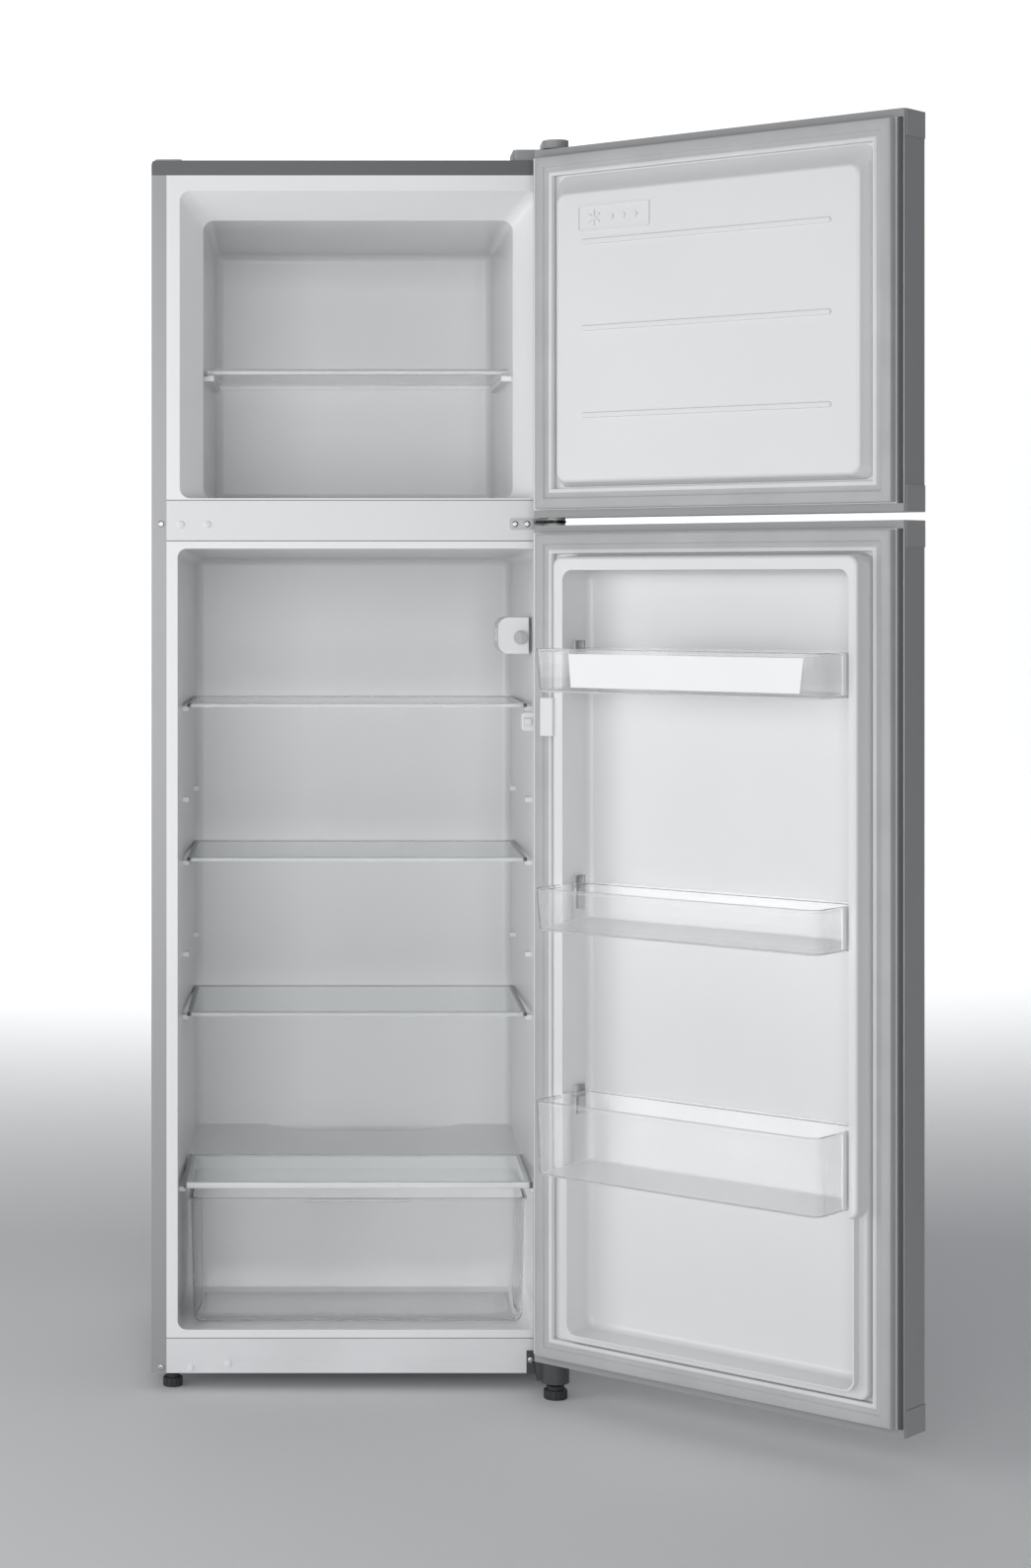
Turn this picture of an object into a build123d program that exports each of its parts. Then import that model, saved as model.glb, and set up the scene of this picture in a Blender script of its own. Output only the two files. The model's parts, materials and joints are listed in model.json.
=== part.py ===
"""Top freezer refrigerator: free-standing cabinet, two doors hung on the right, shelves,
crisper, door bins and the sealed cooling circuit.

Frame: +Z up, the front faces -Y, the origin is on the floor under the middle of the cabinet.
Doors are built shut, in door terms: u runs from the hinge-side edge to the free edge, and
n runs outward from the door's inner face. They are then turned open about the hinge line.
All sizes are in millimetres.
"""
from build123d import *
import math
import os

# ---------------------------------------------------------------- cabinet
CAB_W, CAB_D = 545.0, 500.0
CAB_BOTTOM, CAB_TOP = 22.0, 1619.0
SHEET = 1.0                      # steel sheet of the case
FLANGE_W = 19.8                  # front return of the case
LINER_T = 2.0
# ---------------------------------------------------------------- compartments, from the front
FRZ_MOUTH_SIDE, FRZ_MOUTH_TOP, FRZ_FLOOR = 37.2, 1579.0, 1174.0
FRZ_THROAT_SIDE, FRZ_THROAT_TOP, FRZ_THROAT_D = 66.9, 1544.0, 36.0
FRZ_DEPTH, FRZ_R = 400.0, 14.0
FRG_SIDE, FRG_TOP, FRG_FLOOR = 34.4, 1107.7, 79.0
FRG_DEPTH, FRG_R, FRG_DRAFT = 428.0, 12.0, 1.3
STEP_Y, STEP_Z, STEP_Z_BACK = 236.0, 262.0, 277.0   # ledge over the compressor
GUTTER_X, GUTTER_R, GUTTER_DIP, GUTTER_D = 13.0, 800.0, 16.0, 44.0   # drain gutter in the ledge
MULLION_BOTTOM = 1117.3
RAIL_TOP, SEAM = 68.5, 1.0       # white rail under the fridge compartment, joint lines
FOAM_BOTTOM = 42.0
BAY_Y, BAY_TOP, BAY_TOP_BACK = 276.0, 224.0, 252.0  # compressor bay
# ---------------------------------------------------------------- doors
GAP, DOOR_T = 14.0, 52.0
PIVOT_SIDE, PIVOT_OUT = 16.4, 40.0   # from the right side, and in front of the cabinet
DOOR_OPEN = 139.0                # angle of both doors at rest
FRZ_DOOR_Z = (1147.0, 1624.5)
FRG_DOOR_Z = (50.0, 1137.0)
SKIN_T, CAP_H, CAP_SKIRT = 1.0, 10.0, 32.0
GROOVE_W, GROOVE_D, GRIP_T = 7.5, 15.0, 1.6   # finger groove along the free edge
GASKET_EDGE, GASKET_W, GASKET_T = 11.0, 26.0, 13.0
DYKE_SIDE, DYKE_H, DYKE_WALL = 55.0, 38.0, 19.0
DYKE_FREE = 40.0
DYKE_TOP, DYKE_BOTTOM = 1098.5, 305.0
LOW_RIM_H, LOW_RIM_BOTTOM = 17.0, 89.0
RECESS_N, RECESS_TOP, RECESS_BOTTOM = 21.0, 1079.0, 103.0
PLATEAU_H, PLATEAU_TOP, PLATEAU_BOTTOM = 22.0, 1586.0, 1186.0
PLATEAU_U = (41.0, 506.5)
RIB_U, RIB_Z, RIB_H, RIB_OUT = (93.0, 459.0), (1497.0, 1387.0, 1276.0), 7.0, 2.2
PANEL_U, PANEL_Z, EMBOSS = (87.0, 197.0), (1510.0, 1543.0), 1.4
PLATEAU_SLOPE = {"hinge": 12.0, "free": 9.5, "top": 26.0, "bottom": 6.0}
# ---------------------------------------------------------------- bins
BIN_Z = {"upper": (925.0, 55.0), "middle": (624.0, 55.0), "lower": (316.0, 96.0)}
BIN_BACK, BIN_REACH, BIN_WALL, BIN_END_GAP = 16.0, 104.0, 2.4, 4.4
BIN_LIFT = 16.0
LUG_H, LUG_W, LUG_OUT = 24.0, 12.0, 3.6
# ---------------------------------------------------------------- shelves
SHELF_SIDE, SHELF_FRONT, SHELF_DEPTH = FRG_SIDE + 8.6, 98.0, 282.0
SHELF_Z = {"upper": 900.0, "middle": 692.0, "lower": 483.0}
SPARE_STUD_Z = (772.0, 563.0)
GLASS_T, TRIM_H, TRIM_W = 4.0, 9.0, 12.0
STUD_L, STUD_H, STUD_OUT = 20.0, 6.0, 9.0
SWITCH_U, SWITCH_Z = FRG_SIDE + 12.6, 878.0      # light switch, from the right side
CONTROL_Z, CONTROL_R = (967.0, 1016.0), 14.0    # thermostat housing
FRZ_SHELF_Z, FRZ_SHELF_FRONT, FRZ_SHELF_DEPTH = 1347.0, 40.0, 300.0
COVER_Z, COVER_FRONT, COVER_DEPTH, COVER_SIDE = 262.0, 24.0, 200.0, FRG_SIDE + 6.6
COVER_LIP = 2.0
DRAWER_SIDE, DRAWER_FRONT, DRAWER_DEPTH = FRG_SIDE + 16.1, 30.0, 186.0
DRAWER_WALL, DRAWER_TAPER, SLIDE_FIT = 2.4, 1.2, 0.5
# ---------------------------------------------------------------- hinges, feet, rollers
PIN_R, PIN_GRIP, BUSH_R, RUN_FIT = 4.0, 16.0, 7.0, 0.06
BUSH_FLANGE_R, BUSH_FLANGE_T = 10.0, 2.7
PLATE_T = 3.0
FOOT_R, FOOT_R_RIGHT, STUD_R = 13.0, 15.5, 4.0
ROLLER_R, ROLLER_W, AXLE_R = 14.0, 12.0, 3.0
# ---------------------------------------------------------------- cooling circuit
COND_TUBE_R, WIRE_R, COND_RUNS, COND_WIRES = 2.4, 0.8, 21, 26
COND_W, COND_BOTTOM, COND_TOP, COND_OFF = 440.0, 330.0, 1480.0, 14.0
COMP_R, COMP_H = 72.0, 128.0
TUBE_R = 3.0

FRONT, BACK = -CAB_D / 2, CAB_D / 2
HALF = CAB_W / 2
PIVOT = (HALF - PIVOT_SIDE, FRONT - PIVOT_OUT)
DOOR_IN = FRONT - GAP
PIVOT_U, PIVOT_N = PIVOT_SIDE, PIVOT_OUT - GAP
made = {}


def keep(name, *solids):
    """Write one sub-part; several solids stay separate solids of one node."""
    flat = [s for shape in solids for s in shape.solids()]
    made[name] = flat
    shape = flat[0] if len(flat) == 1 else Compound(flat)
    export_step(shape, f"parts/{name}.step")


def block(x0, x1, y0, y1, z0, z1):
    """A box from its two corners."""
    return Pos((x0 + x1) / 2, (y0 + y1) / 2, (z0 + z1) / 2) * Box(x1 - x0, y1 - y0, z1 - z0)


def rod(radius, start, end):
    """A round bar from start to end."""
    a, b = Vector(*start), Vector(*end)
    return Solid.make_cylinder(radius, (b - a).length, Plane(origin=a, z_dir=b - a))


def tub(x0, x1, z0, z1, y0, depth, radius, taper=0.0, back_radius=0.0):
    """A rounded rectangle in the XZ plane, pushed back from y0."""
    plane = Plane(origin=((x0 + x1) / 2, y0, (z0 + z1) / 2), x_dir=(1, 0, 0), z_dir=(0, 1, 0))
    shape = extrude(plane * RectangleRounded(x1 - x0, z1 - z0, radius), amount=depth, taper=taper)
    if back_radius:
        shape = fillet(shape.faces().sort_by(Axis.Y)[-1].edges(), back_radius)
    return shape


def door_block(u0, u1, n0, n1, z0, z1):
    """A box in door terms."""
    return block(HALF - u1, HALF - u0, DOOR_IN - n1, DOOR_IN - n0, z0, z1)


def door_tub(u0, u1, z0, z1, n0, rise, radius, taper, edge):
    """A tapered pad that rises from n0 towards the cabinet."""
    return tub(HALF - u1, HALF - u0, z0, z1, DOOR_IN - n0, rise, radius, taper, edge)


def opened(shape):
    """Turn a shut door piece to the rest angle."""
    turn = Pos(PIVOT[0], PIVOT[1], 0) * Rot(0, 0, DOOR_OPEN) * Pos(-PIVOT[0], -PIVOT[1], 0)
    return turn * shape


def side_profile(points):
    """A YZ outline pushed across the whole cabinet."""
    return extrude(Plane.YZ * Polygon(*points, align=None), amount=CAB_W, both=True)


# ================================================================ liners
def freezer_space(grow):
    """The freezer compartment, or its liner's outside when grow is the wall."""
    def mouth(side, top, y):
        plane = Plane(origin=(0, y, (FRZ_FLOOR + top) / 2), x_dir=(1, 0, 0), z_dir=(0, 1, 0))
        wide, high = CAB_W - 2 * side + 2 * grow, top - FRZ_FLOOR + 2 * grow
        return plane * RectangleRounded(wide, high, FRZ_R)
    throat = loft([mouth(FRZ_MOUTH_SIDE, FRZ_MOUTH_TOP, FRONT).face(),
                   mouth(FRZ_THROAT_SIDE, FRZ_THROAT_TOP, FRONT + FRZ_THROAT_D).face()])
    rest = tub(-HALF + FRZ_THROAT_SIDE - grow, HALF - FRZ_THROAT_SIDE + grow,
               FRZ_FLOOR - grow, FRZ_THROAT_TOP + grow, FRONT + FRZ_THROAT_D,
               FRZ_DEPTH - FRZ_THROAT_D + grow, FRZ_R, 1.0, FRZ_R - 2)
    return throat + rest


def fridge_space(grow):
    """The fridge compartment with its ledge over the compressor bay."""
    def section(depth):
        """The space at a depth: its walls and roof are drafted, its floor is level."""
        low, high = FRG_FLOOR - grow, FRG_TOP - depth * math.tan(math.radians(FRG_DRAFT)) + grow
        plane = Plane(origin=(0, FRONT + depth, (low + high) / 2), x_dir=(1, 0, 0),
                      z_dir=(0, 1, 0))
        return plane * RectangleRounded(2 * (wall_x(depth) + grow), high - low, FRG_R)
    whole = loft([section(0).face(), section(FRG_DEPTH + grow).face()])
    whole = fillet(whole.faces().sort_by(Axis.Y)[-1].edges(), FRG_R - 1)
    end = FRONT + FRG_DEPTH
    step = FRONT + STEP_Y + grow
    ledge = side_profile([(end + 50, 0), (end + 50, STEP_Z_BACK - grow), (step, STEP_Z - grow),
                          (step, 0)])
    dip = Pos(GUTTER_X, end, STEP_Z_BACK - GUTTER_DIP + GUTTER_R) * Rot(90, 0, 0)
    gutter = dip * Cylinder(GUTTER_R + grow, 2 * (GUTTER_D + grow))
    return whole - (ledge - gutter)


def wall_x(y_from_front):
    """Half the clear width of the fridge compartment at a depth."""
    return HALF - FRG_SIDE - y_from_front * math.tan(math.radians(FRG_DRAFT))


def studs():
    """Moulded shelf studs on both side walls."""
    levels = [z - TRIM_H + GLASS_T for z in SHELF_Z.values()] + list(SPARE_STUD_Z)
    out = []
    for z in levels:
        for y in (SHELF_FRONT + 12, SHELF_FRONT + SHELF_DEPTH - 40):
            wall = wall_x(y) + LINER_T / 2
            for side in (-1, 1):
                inner = wall - STUD_OUT
                x0, x1 = sorted((side * inner, side * wall))
                out.append(block(x0, x1, FRONT + y, FRONT + y + STUD_L, z - STUD_H, z))
    for side in (-1, 1):          # short rails that carry the crisper cover
        x0, x1 = sorted((side * (wall_x(40) - 8), side * (wall_x(40) + 1)))
        top = COVER_Z - COVER_LIP - SLIDE_FIT
        out.append(block(x0, x1, FRONT + 40, FRONT + 190, top - 6, top))
    return out


def make_liners():
    freezer = freezer_space(LINER_T) - freezer_space(0)
    frame = block(-HALF + FLANGE_W, HALF - FLANGE_W, FRONT, FRONT + LINER_T,
                  FRZ_FLOOR - LINER_T, CAB_TOP - FLANGE_W)
    freezer = freezer + (frame - freezer_space(LINER_T / 2))
    keep_below = block(-HALF, HALF, FRONT - 1, BACK, FRZ_FLOOR - LINER_T, CAB_TOP)
    freezer = freezer & keep_below
    inner_wall = HALF - FRZ_THROAT_SIDE
    shelf_rails = [block(*sorted((s * (inner_wall - 13), s * (inner_wall + 1))),
                         FRONT + 70, FRONT + 320, FRZ_SHELF_Z - 14, FRZ_SHELF_Z - 8)
                   for s in (-1, 1)]
    for rail in shelf_rails:
        freezer = freezer + (rail & freezer_space(LINER_T / 2))
    keep("freezer_liner", freezer)

    fridge = fridge_space(LINER_T) - fridge_space(0)
    frame = block(-HALF + FLANGE_W, HALF - FLANGE_W, FRONT, FRONT + LINER_T,
                  RAIL_TOP, MULLION_BOTTOM)
    fridge = fridge + (frame - fridge_space(LINER_T / 2))
    room = fridge_space(LINER_T / 2)
    for stud in studs():
        fridge = fridge + (stud & room)
    keep("fridge_liner", fridge)


def make_front_trim():
    cover = block(-HALF + FLANGE_W, HALF - FLANGE_W, FRONT, FRONT + LINER_T,
                  MULLION_BOTTOM + SEAM, FRZ_FLOOR - LINER_T - SEAM)
    holes = [Pos(x, FRONT, 1139.5) * Rot(90, 0, 0) * Cylinder(2.5, 20)
             for x in (-HALF + 38.8, -HALF + 73.9)]
    for hole in holes:
        cover = cover - hole
    keep("mullion_cover", cover)

    rail_top = RAIL_TOP - SEAM
    rail = block(-HALF + FLANGE_W, HALF - FLANGE_W, FRONT, FRONT + 8, CAB_BOTTOM, rail_top)
    rail = rail - block(-HALF, HALF, FRONT + 1.2, FRONT + 9, CAB_BOTTOM + 1.2, rail_top - 1.2)
    slot = block(-172, 176, FRONT - 1, FRONT + 0.6, 38.5, 40.5)
    keep("lower_front_rail", rail - slot)

    plug_places = [(-HALF + 38.8, 1139.5), (-HALF + 73.9, 1139.5)]
    plugs = []
    for x, z in plug_places:
        head = Pos(x, FRONT - 0.8, z) * Rot(90, 0, 0) * Cylinder(5.0, 1.6)
        stem = Pos(x, FRONT + LINER_T / 2, z) * Rot(90, 0, 0) * Cylinder(2.5, LINER_T)
        plugs.append(head + stem)
    for x, z in ((-HALF + 51.8, 29.0), (-HALF + 101.2, 34.7)):
        plugs.append(Pos(x, FRONT - 0.7, z) * Rot(90, 0, 0) * Cylinder(4.6, 1.4))
    plugs.append(fillet(block(-HALF + 4, -HALF + 40, FRONT + 8, FRONT + 40, CAB_TOP,
                              CAB_TOP + 3).edges().filter_by(Axis.Z), 6))
    keep("hole_plugs", *plugs)


# ================================================================ case
def make_case():
    shell = block(-HALF, HALF, FRONT, BACK - SHEET, CAB_BOTTOM, CAB_TOP)
    shell = fillet(shell.edges().filter_by(Axis.Y).group_by(Axis.Z)[-1], 6)
    shell = shell - block(-HALF + SHEET, HALF - SHEET, FRONT + SHEET, BACK, 0, CAB_TOP - SHEET)
    window = block(-HALF + FLANGE_W, HALF - FLANGE_W, FRONT - 1, FRONT + 2, 0,
                   CAB_TOP - FLANGE_W)
    keep("outer_case", shell - window)

    panel = block(-HALF, HALF, BACK - SHEET, BACK, BAY_TOP_BACK, CAB_TOP)
    panel = fillet(panel.edges().filter_by(Axis.Y).group_by(Axis.Z)[-1], 6)
    ribs = [block(x - 9, x + 9, BACK, BACK + 3, 420, 1500) for x in (-120, 0, 120)]
    for rib in ribs:
        panel = panel + fillet(rib.edges().filter_by(Axis.Z).group_by(Axis.Y)[-1], 2)
    keep("back_panel", panel)

    def bay(grow):
        front, top, top_back = BAY_Y - grow, BAY_TOP + grow, BAY_TOP_BACK + grow
        return side_profile([(BACK + 5, 0), (BACK + 5, top_back), (FRONT + front, top),
                             (FRONT + front, 0)])
    foam = block(-HALF + SHEET, HALF - SHEET, FRONT + LINER_T, BACK - SHEET, FOAM_BOTTOM,
                 CAB_TOP - SHEET)
    foam = foam - block(-HALF, HALF, FRONT, FRONT + 8, 0, RAIL_TOP)
    foam = foam - bay(SHEET) - freezer_space(LINER_T) - fridge_space(LINER_T)
    for z0, z1, y in ((1220, 1500, FRZ_DEPTH), (480, 1000, FRG_DEPTH)):
        foam = foam - block(-180, 180, FRONT + y + LINER_T, FRONT + y + LINER_T + 10, z0, z1)
    keep("cabinet_foam", foam)

    plate = (bay(SHEET) - bay(0)) & block(-HALF + SHEET, HALF - SHEET, FRONT, BACK - SHEET,
                                          FOAM_BOTTOM, CAB_TOP)
    floor = block(-HALF + SHEET, HALF - SHEET, FRONT + 8, FRONT + BAY_Y,
                  FOAM_BOTTOM - SHEET, FOAM_BOTTOM)
    nut_pad = Pos(-HALF + 27.2, FRONT + 24, FOAM_BOTTOM - SHEET - 5) * Cylinder(9, 10)
    plate = plate + floor + nut_pad
    plate = plate - Pos(-HALF + 27.2, FRONT + 24, 32) * Cylinder(STUD_R + RUN_FIT, 24)
    keep("base_plate", plate)

    evaporators = []
    for z0, z1, y in ((1220, 1500, FRZ_DEPTH), (480, 1000, FRG_DEPTH)):
        face = FRONT + y + LINER_T
        plate = block(-178, 178, face, face + 1.5, z0 + 2, z1 - 2)
        pitch = (z1 - z0 - 60) / 5
        runs = [z0 + 30 + pitch * i for i in range(6)]
        for z in runs:
            plate = plate + rod(TUBE_R, (-150, face + 4, z), (150, face + 4, z))
        evaporators.append(plate)
    keep("evaporator_plates", *evaporators)


# ================================================================ machine bay
def serpentine(radius, xs, zs, y):
    """A flat tube: straight runs across, joined by half turns at alternate ends."""
    parts = []
    half_pitch = (zs[1] - zs[0]) / 2
    for i, z in enumerate(zs):
        parts.append(rod(radius, (xs[0], y, z), (xs[1], y, z)))
        if i + 1 < len(zs):
            x = xs[1] if i % 2 == 0 else xs[0]
            turn = 1 if i % 2 == 0 else -1
            ring = Plane(origin=(x, y, z + half_pitch), z_dir=(0, 1, 0)) * Torus(half_pitch, radius)
            half = block(*sorted((x, x + turn * (half_pitch + 2 * radius))), y - 9, y + 9,
                         z - 9, z + 2 * half_pitch + 9)
            parts.append(ring & half)
    whole = parts[0]
    for part in parts[1:]:
        whole = whole + part
    return whole


def make_cooling():
    tray = block(-HALF + SHEET, HALF - SHEET, FRONT + 330, BACK - 4, 36, 38)
    tray = tray + block(-HALF + SHEET, HALF - SHEET, BACK - 6, BACK - 4, 24, 60)
    cx, cy, foot_z = 60.0, FRONT + 408.0, 46.0
    feet = [(cx + dx, cy + dy) for dx in (-62, 62) for dy in (-52, 52)]
    for x, y in feet:
        tray = tray - Pos(x, y, 37) * Cylinder(5, 10)
    keep("compressor_tray", tray)
    grommets = [Pos(x, y, 42) * Cylinder(9, 8) + Pos(x, y, 36) * Cylinder(5, 4) for x, y in feet]
    keep("compressor_grommets", *grommets)

    pot = Pos(cx, cy, foot_z + 4 + COMP_H / 2) * Cylinder(COMP_R, COMP_H)
    pot = fillet(pot.edges().filter_by(GeomType.CIRCLE), 34)
    foot = block(cx - 74, cx + 74, cy - 62, cy + 62, foot_z, foot_z + 3)
    foot = fillet(foot.edges().filter_by(Axis.Z), 14)
    seam = Pos(cx, cy, foot_z + 74) * Cylinder(COMP_R + 3, 4)
    stem = Pos(cx, cy, foot_z + 6) * Cylinder(30, 10)
    body = pot + foot + seam + stem
    relay = block(cx - COMP_R - 26, cx - COMP_R - 5, cy - 24, cy + 24, foot_z + 30, foot_z + 62)
    relay = fillet(relay.edges().filter_by(Axis.Y), 3)
    neck = rod(9, (cx - COMP_R - 5, cy, foot_z + 46), (cx - COMP_R + 6, cy, foot_z + 46)) - body
    keep("compressor", body, relay + neck)

    # condenser on the back, held off the panel by four clips
    face = BACK + 3 + COND_OFF
    pitch = (COND_TOP - COND_BOTTOM) / (COND_RUNS - 1)
    zs = [COND_BOTTOM + i * pitch for i in range(COND_RUNS)]
    keep("condenser_coil", serpentine(COND_TUBE_R, (-COND_W / 2, COND_W / 2), zs, face))
    gap = COND_W / (COND_WIRES - 1)
    wires = []
    for i in range(COND_WIRES):
        x = -COND_W / 2 + i * gap
        y = face + COND_TUBE_R + WIRE_R
        wires.append(rod(WIRE_R, (x, y, COND_BOTTOM - 12), (x, y, COND_TOP + 12)))
    keep("condenser_wires", *wires)
    clips = []
    for x in (-COND_W / 2 + 60, COND_W / 2 - 60):
        for z in (zs[1], zs[-2]):
            clip = block(x - 6, x + 6, BACK, face, z - 7, z + 7)
            clips.append(clip - rod(COND_TUBE_R, (x - 9, face, z), (x + 9, face, z)))
    keep("condenser_clips", *clips)

    drier_x = cx + 110.0
    drier = rod(9, (drier_x, cy + 10, 90), (drier_x, cy + 10, 170))
    drier = fillet(drier.edges().filter_by(GeomType.CIRCLE), 5)
    down = rod(TUBE_R, (drier_x, cy + 10, 170), (drier_x, cy + 10, 205))
    suction = rod(TUBE_R + 1, (cx + 20, cy, foot_z + 4 + COMP_H), (cx + 20, cy, 205))
    discharge = rod(TUBE_R, (cx - 30, cy, foot_z + 4 + COMP_H), (cx - 30, cy, 200))
    keep("refrigerant_tubes", drier, down, suction, discharge)

    px, tray_z = -140.0, 120.0
    pan = block(px - 80, px + 80, cy - 60, cy + 50, tray_z, tray_z + 34)
    pan = fillet(pan.edges().filter_by(Axis.Z), 14)
    hollow = block(px - 77.5, px + 77.5, cy - 57.5, cy + 47.5, tray_z + 2.5, tray_z + 40)
    pan = pan - fillet(hollow.edges().filter_by(Axis.Z), 11.5)
    pan = pan + block(px - 40, px + 40, FRONT + BAY_Y, cy - 58, tray_z + 20, tray_z + 22.5)
    drain = rod(8, (px, cy - 10, tray_z + 20), (px, cy - 10, 228))
    drain = drain - rod(6, (px, cy - 10, tray_z + 10), (px, cy - 10, 240))
    keep("drip_tray", pan, drain)


# ================================================================ fittings inside
def make_controls():
    x0, y0, (z0, z1) = HALF - FRG_SIDE - 47.6, FRONT + 100, CONTROL_Z
    wall = wall_x(196) - 0.2
    box = block(x0, wall - 2.0, y0, y0 + 96, z0, z1)
    box = fillet(box.edges().filter_by(Axis.Y).group_by(Axis.X)[0], CONTROL_R)
    hollow = block(x0 + 2.5, wall, y0 + 2.5, y0 + 93.5, z0 + 2.5, z1 - 2.5)
    box = box - fillet(hollow.edges().filter_by(Axis.Y).group_by(Axis.X)[0], CONTROL_R - 2.5)
    window = block(x0 - 1, x0 + 4, y0 + 16, y0 + 80, z0 + 12, z1 - 12)
    box = box - window
    knob_x, knob_z = x0 + 30, z0 + 22
    hole = rod(3.0 + RUN_FIT, (knob_x, y0 - 5, knob_z), (knob_x, y0 + 5, knob_z))
    keep("thermostat_housing", box - hole)
    lens = window & block(x0 + 0.2, x0 + 2.2, y0, y0 + 96, z0, z1)
    for i in range(6):
        lens = lens - block(x0 - 1, x0 + 1.2, y0 + 22 + i * 9, y0 + 26 + i * 9, z0 + 16, z1 - 16)
    keep("lamp_cover", lens)
    bulb = Pos(x0 + 18, y0 + 58, z0 + 27) * Sphere(9)
    base = rod(7, (x0 + 18, y0 + 60, z0 + 27), (x0 + 18, y0 + 93, z0 + 27))
    keep("lamp_bulb", bulb + base)
    knob = rod(9, (knob_x, y0 - 11, knob_z), (knob_x, y0 - 0.5, knob_z))
    knob = chamfer(knob.edges().filter_by(GeomType.CIRCLE).sort_by(Axis.Y)[0], 1.5)
    knob = knob + rod(3.0, (knob_x, y0 - 0.5, knob_z), (knob_x, y0 + 10, knob_z))
    grip = block(knob_x - 1.2, knob_x + 1.2, y0 - 13.5, y0 - 10, knob_z - 7.5, knob_z + 7.5)
    keep("thermostat_knob", knob + grip)

    # light switch beside the mouth, pressed by the striker on the door
    sx, sz, wall = HALF - SWITCH_U, SWITCH_Z, wall_x(72) - 0.2
    body = block(sx - 8, wall, FRONT + 38, FRONT + 72, sz - 12, sz + 12)
    body = fillet(body.edges().filter_by(Axis.Y).group_by(Axis.X)[0], 4)
    body = body - block(sx - 5, sx + 5, FRONT + 30, FRONT + 60, sz - 5, sz + 5)
    keep("switch_housing", body)
    plunger = block(sx - 4.8, sx + 4.8, FRONT + 30, FRONT + 52, sz - 4.8, sz + 4.8)
    plunger = fillet(plunger.faces().sort_by(Axis.Y)[0].edges(), 1.5)
    keep("switch_plunger", plunger)


def shelf(name, side, front, depth, top):
    """A glass pane in a trim that runs round all four sides."""
    half = HALF - side
    y0, y1 = FRONT + front, FRONT + front + depth
    pane = block(-half + 4, half - 4, y0 + 4, y1 - 4, top - 1 - GLASS_T, top - 1)
    outer = block(-half, half, y0, y1, top - TRIM_H + GLASS_T, top)
    outer = fillet(outer.edges().filter_by(Axis.Z), 4)
    outer = fillet(outer.faces().sort_by(Axis.Z)[-1].edges(), 1.6)
    inner = block(-half + TRIM_W * 0.6, half - TRIM_W * 0.6, y0 + TRIM_W, y1 - 8, 0, 2000)
    trim = outer - inner - pane
    keep(name + "_glass", pane)
    keep(name + "_trim", trim)


def make_shelves():
    for level, z in SHELF_Z.items():
        shelf("shelf_" + level, SHELF_SIDE, SHELF_FRONT, SHELF_DEPTH, z)

    half = HALF - FRZ_THROAT_SIDE - 6
    y0, y1 = FRONT + FRZ_SHELF_FRONT, FRONT + FRZ_SHELF_FRONT + FRZ_SHELF_DEPTH
    top = FRZ_SHELF_Z
    pane = block(-half, half, y0, y1, top - 8, top)
    pane = fillet(pane.edges().filter_by(Axis.X).group_by(Axis.Y)[0], 3)
    pane = pane - block(-half + 8, half - 8, y0 + 10, y1 - 8, top - 10, top - 4)
    keep("freezer_shelf", pane)

    half = HALF - COVER_SIDE
    y0, y1 = FRONT + COVER_FRONT, FRONT + COVER_FRONT + COVER_DEPTH
    pane = block(-half + 4, half - 4, y0 + 4, y1, COVER_Z + 1, COVER_Z + 5)
    outer = block(-half, half, y0, y1, COVER_Z - COVER_LIP, COVER_Z + 6)
    hollow = block(-half + 5, half - 5, y0 + 5, y1 + 1, COVER_Z - 12, COVER_Z + 1)
    sight = block(-half + 9, half - 9, y0 + 11, y1 - 6, 0, 900)
    trim = fillet(outer.edges().filter_by(Axis.X).group_by(Axis.Y)[0], 2) - hollow - sight - pane
    keep("crisper_cover_glass", pane)
    keep("crisper_cover_trim", trim)

    half = HALF - DRAWER_SIDE
    y0, depth, z1 = FRONT + DRAWER_FRONT, DRAWER_DEPTH, COVER_Z - 16
    z0 = FRG_FLOOR + SLIDE_FIT

    def drawer_shape(inset, z_top):
        plane = Plane(origin=(0, y0 + depth / 2, z_top))
        wide, deep = 2 * half - 2 * inset, depth - 2 * inset
        solid = extrude(plane * RectangleRounded(wide, deep, 14), amount=-(z_top - z0 - inset),
                        taper=DRAWER_TAPER)
        return fillet(solid.faces().sort_by(Axis.Z)[0].edges(), 12)
    drawer = drawer_shape(0, z1) - drawer_shape(DRAWER_WALL, z1 + 0.01)
    lip = Plane(origin=(0, y0 + depth / 2, z1 - 3)) * RectangleRounded(2 * half + 6, depth + 6, 15)
    lip = extrude(lip, amount=3) - extrude(
        Plane(origin=(0, y0 + depth / 2, z1 - 4)) * RectangleRounded(2 * half - 5, depth - 5, 12),
        amount=6)
    grip = block(-70, 70, y0 - 10, y0 + 1, z1 - 3, z1)
    grip = fillet(grip.edges().filter_by(Axis.Z).group_by(Axis.Y)[0], 8)
    keep("crisper_drawer", drawer + lip + grip)


# ================================================================ doors
def ring(u0, u1, z0, z1, n0, n1, width, radius):
    """A rectangular frame in door terms."""
    outer = door_block(u0, u1, n0, n1, z0, z1)
    inner = door_block(u0 + width, u1 - width, n0 - 1, n1 + 1, z0 + width, z1 - width)
    return fillet(outer.edges().filter_by(Axis.Y), radius + 3) - fillet(
        inner.edges().filter_by(Axis.Y), radius)


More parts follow.
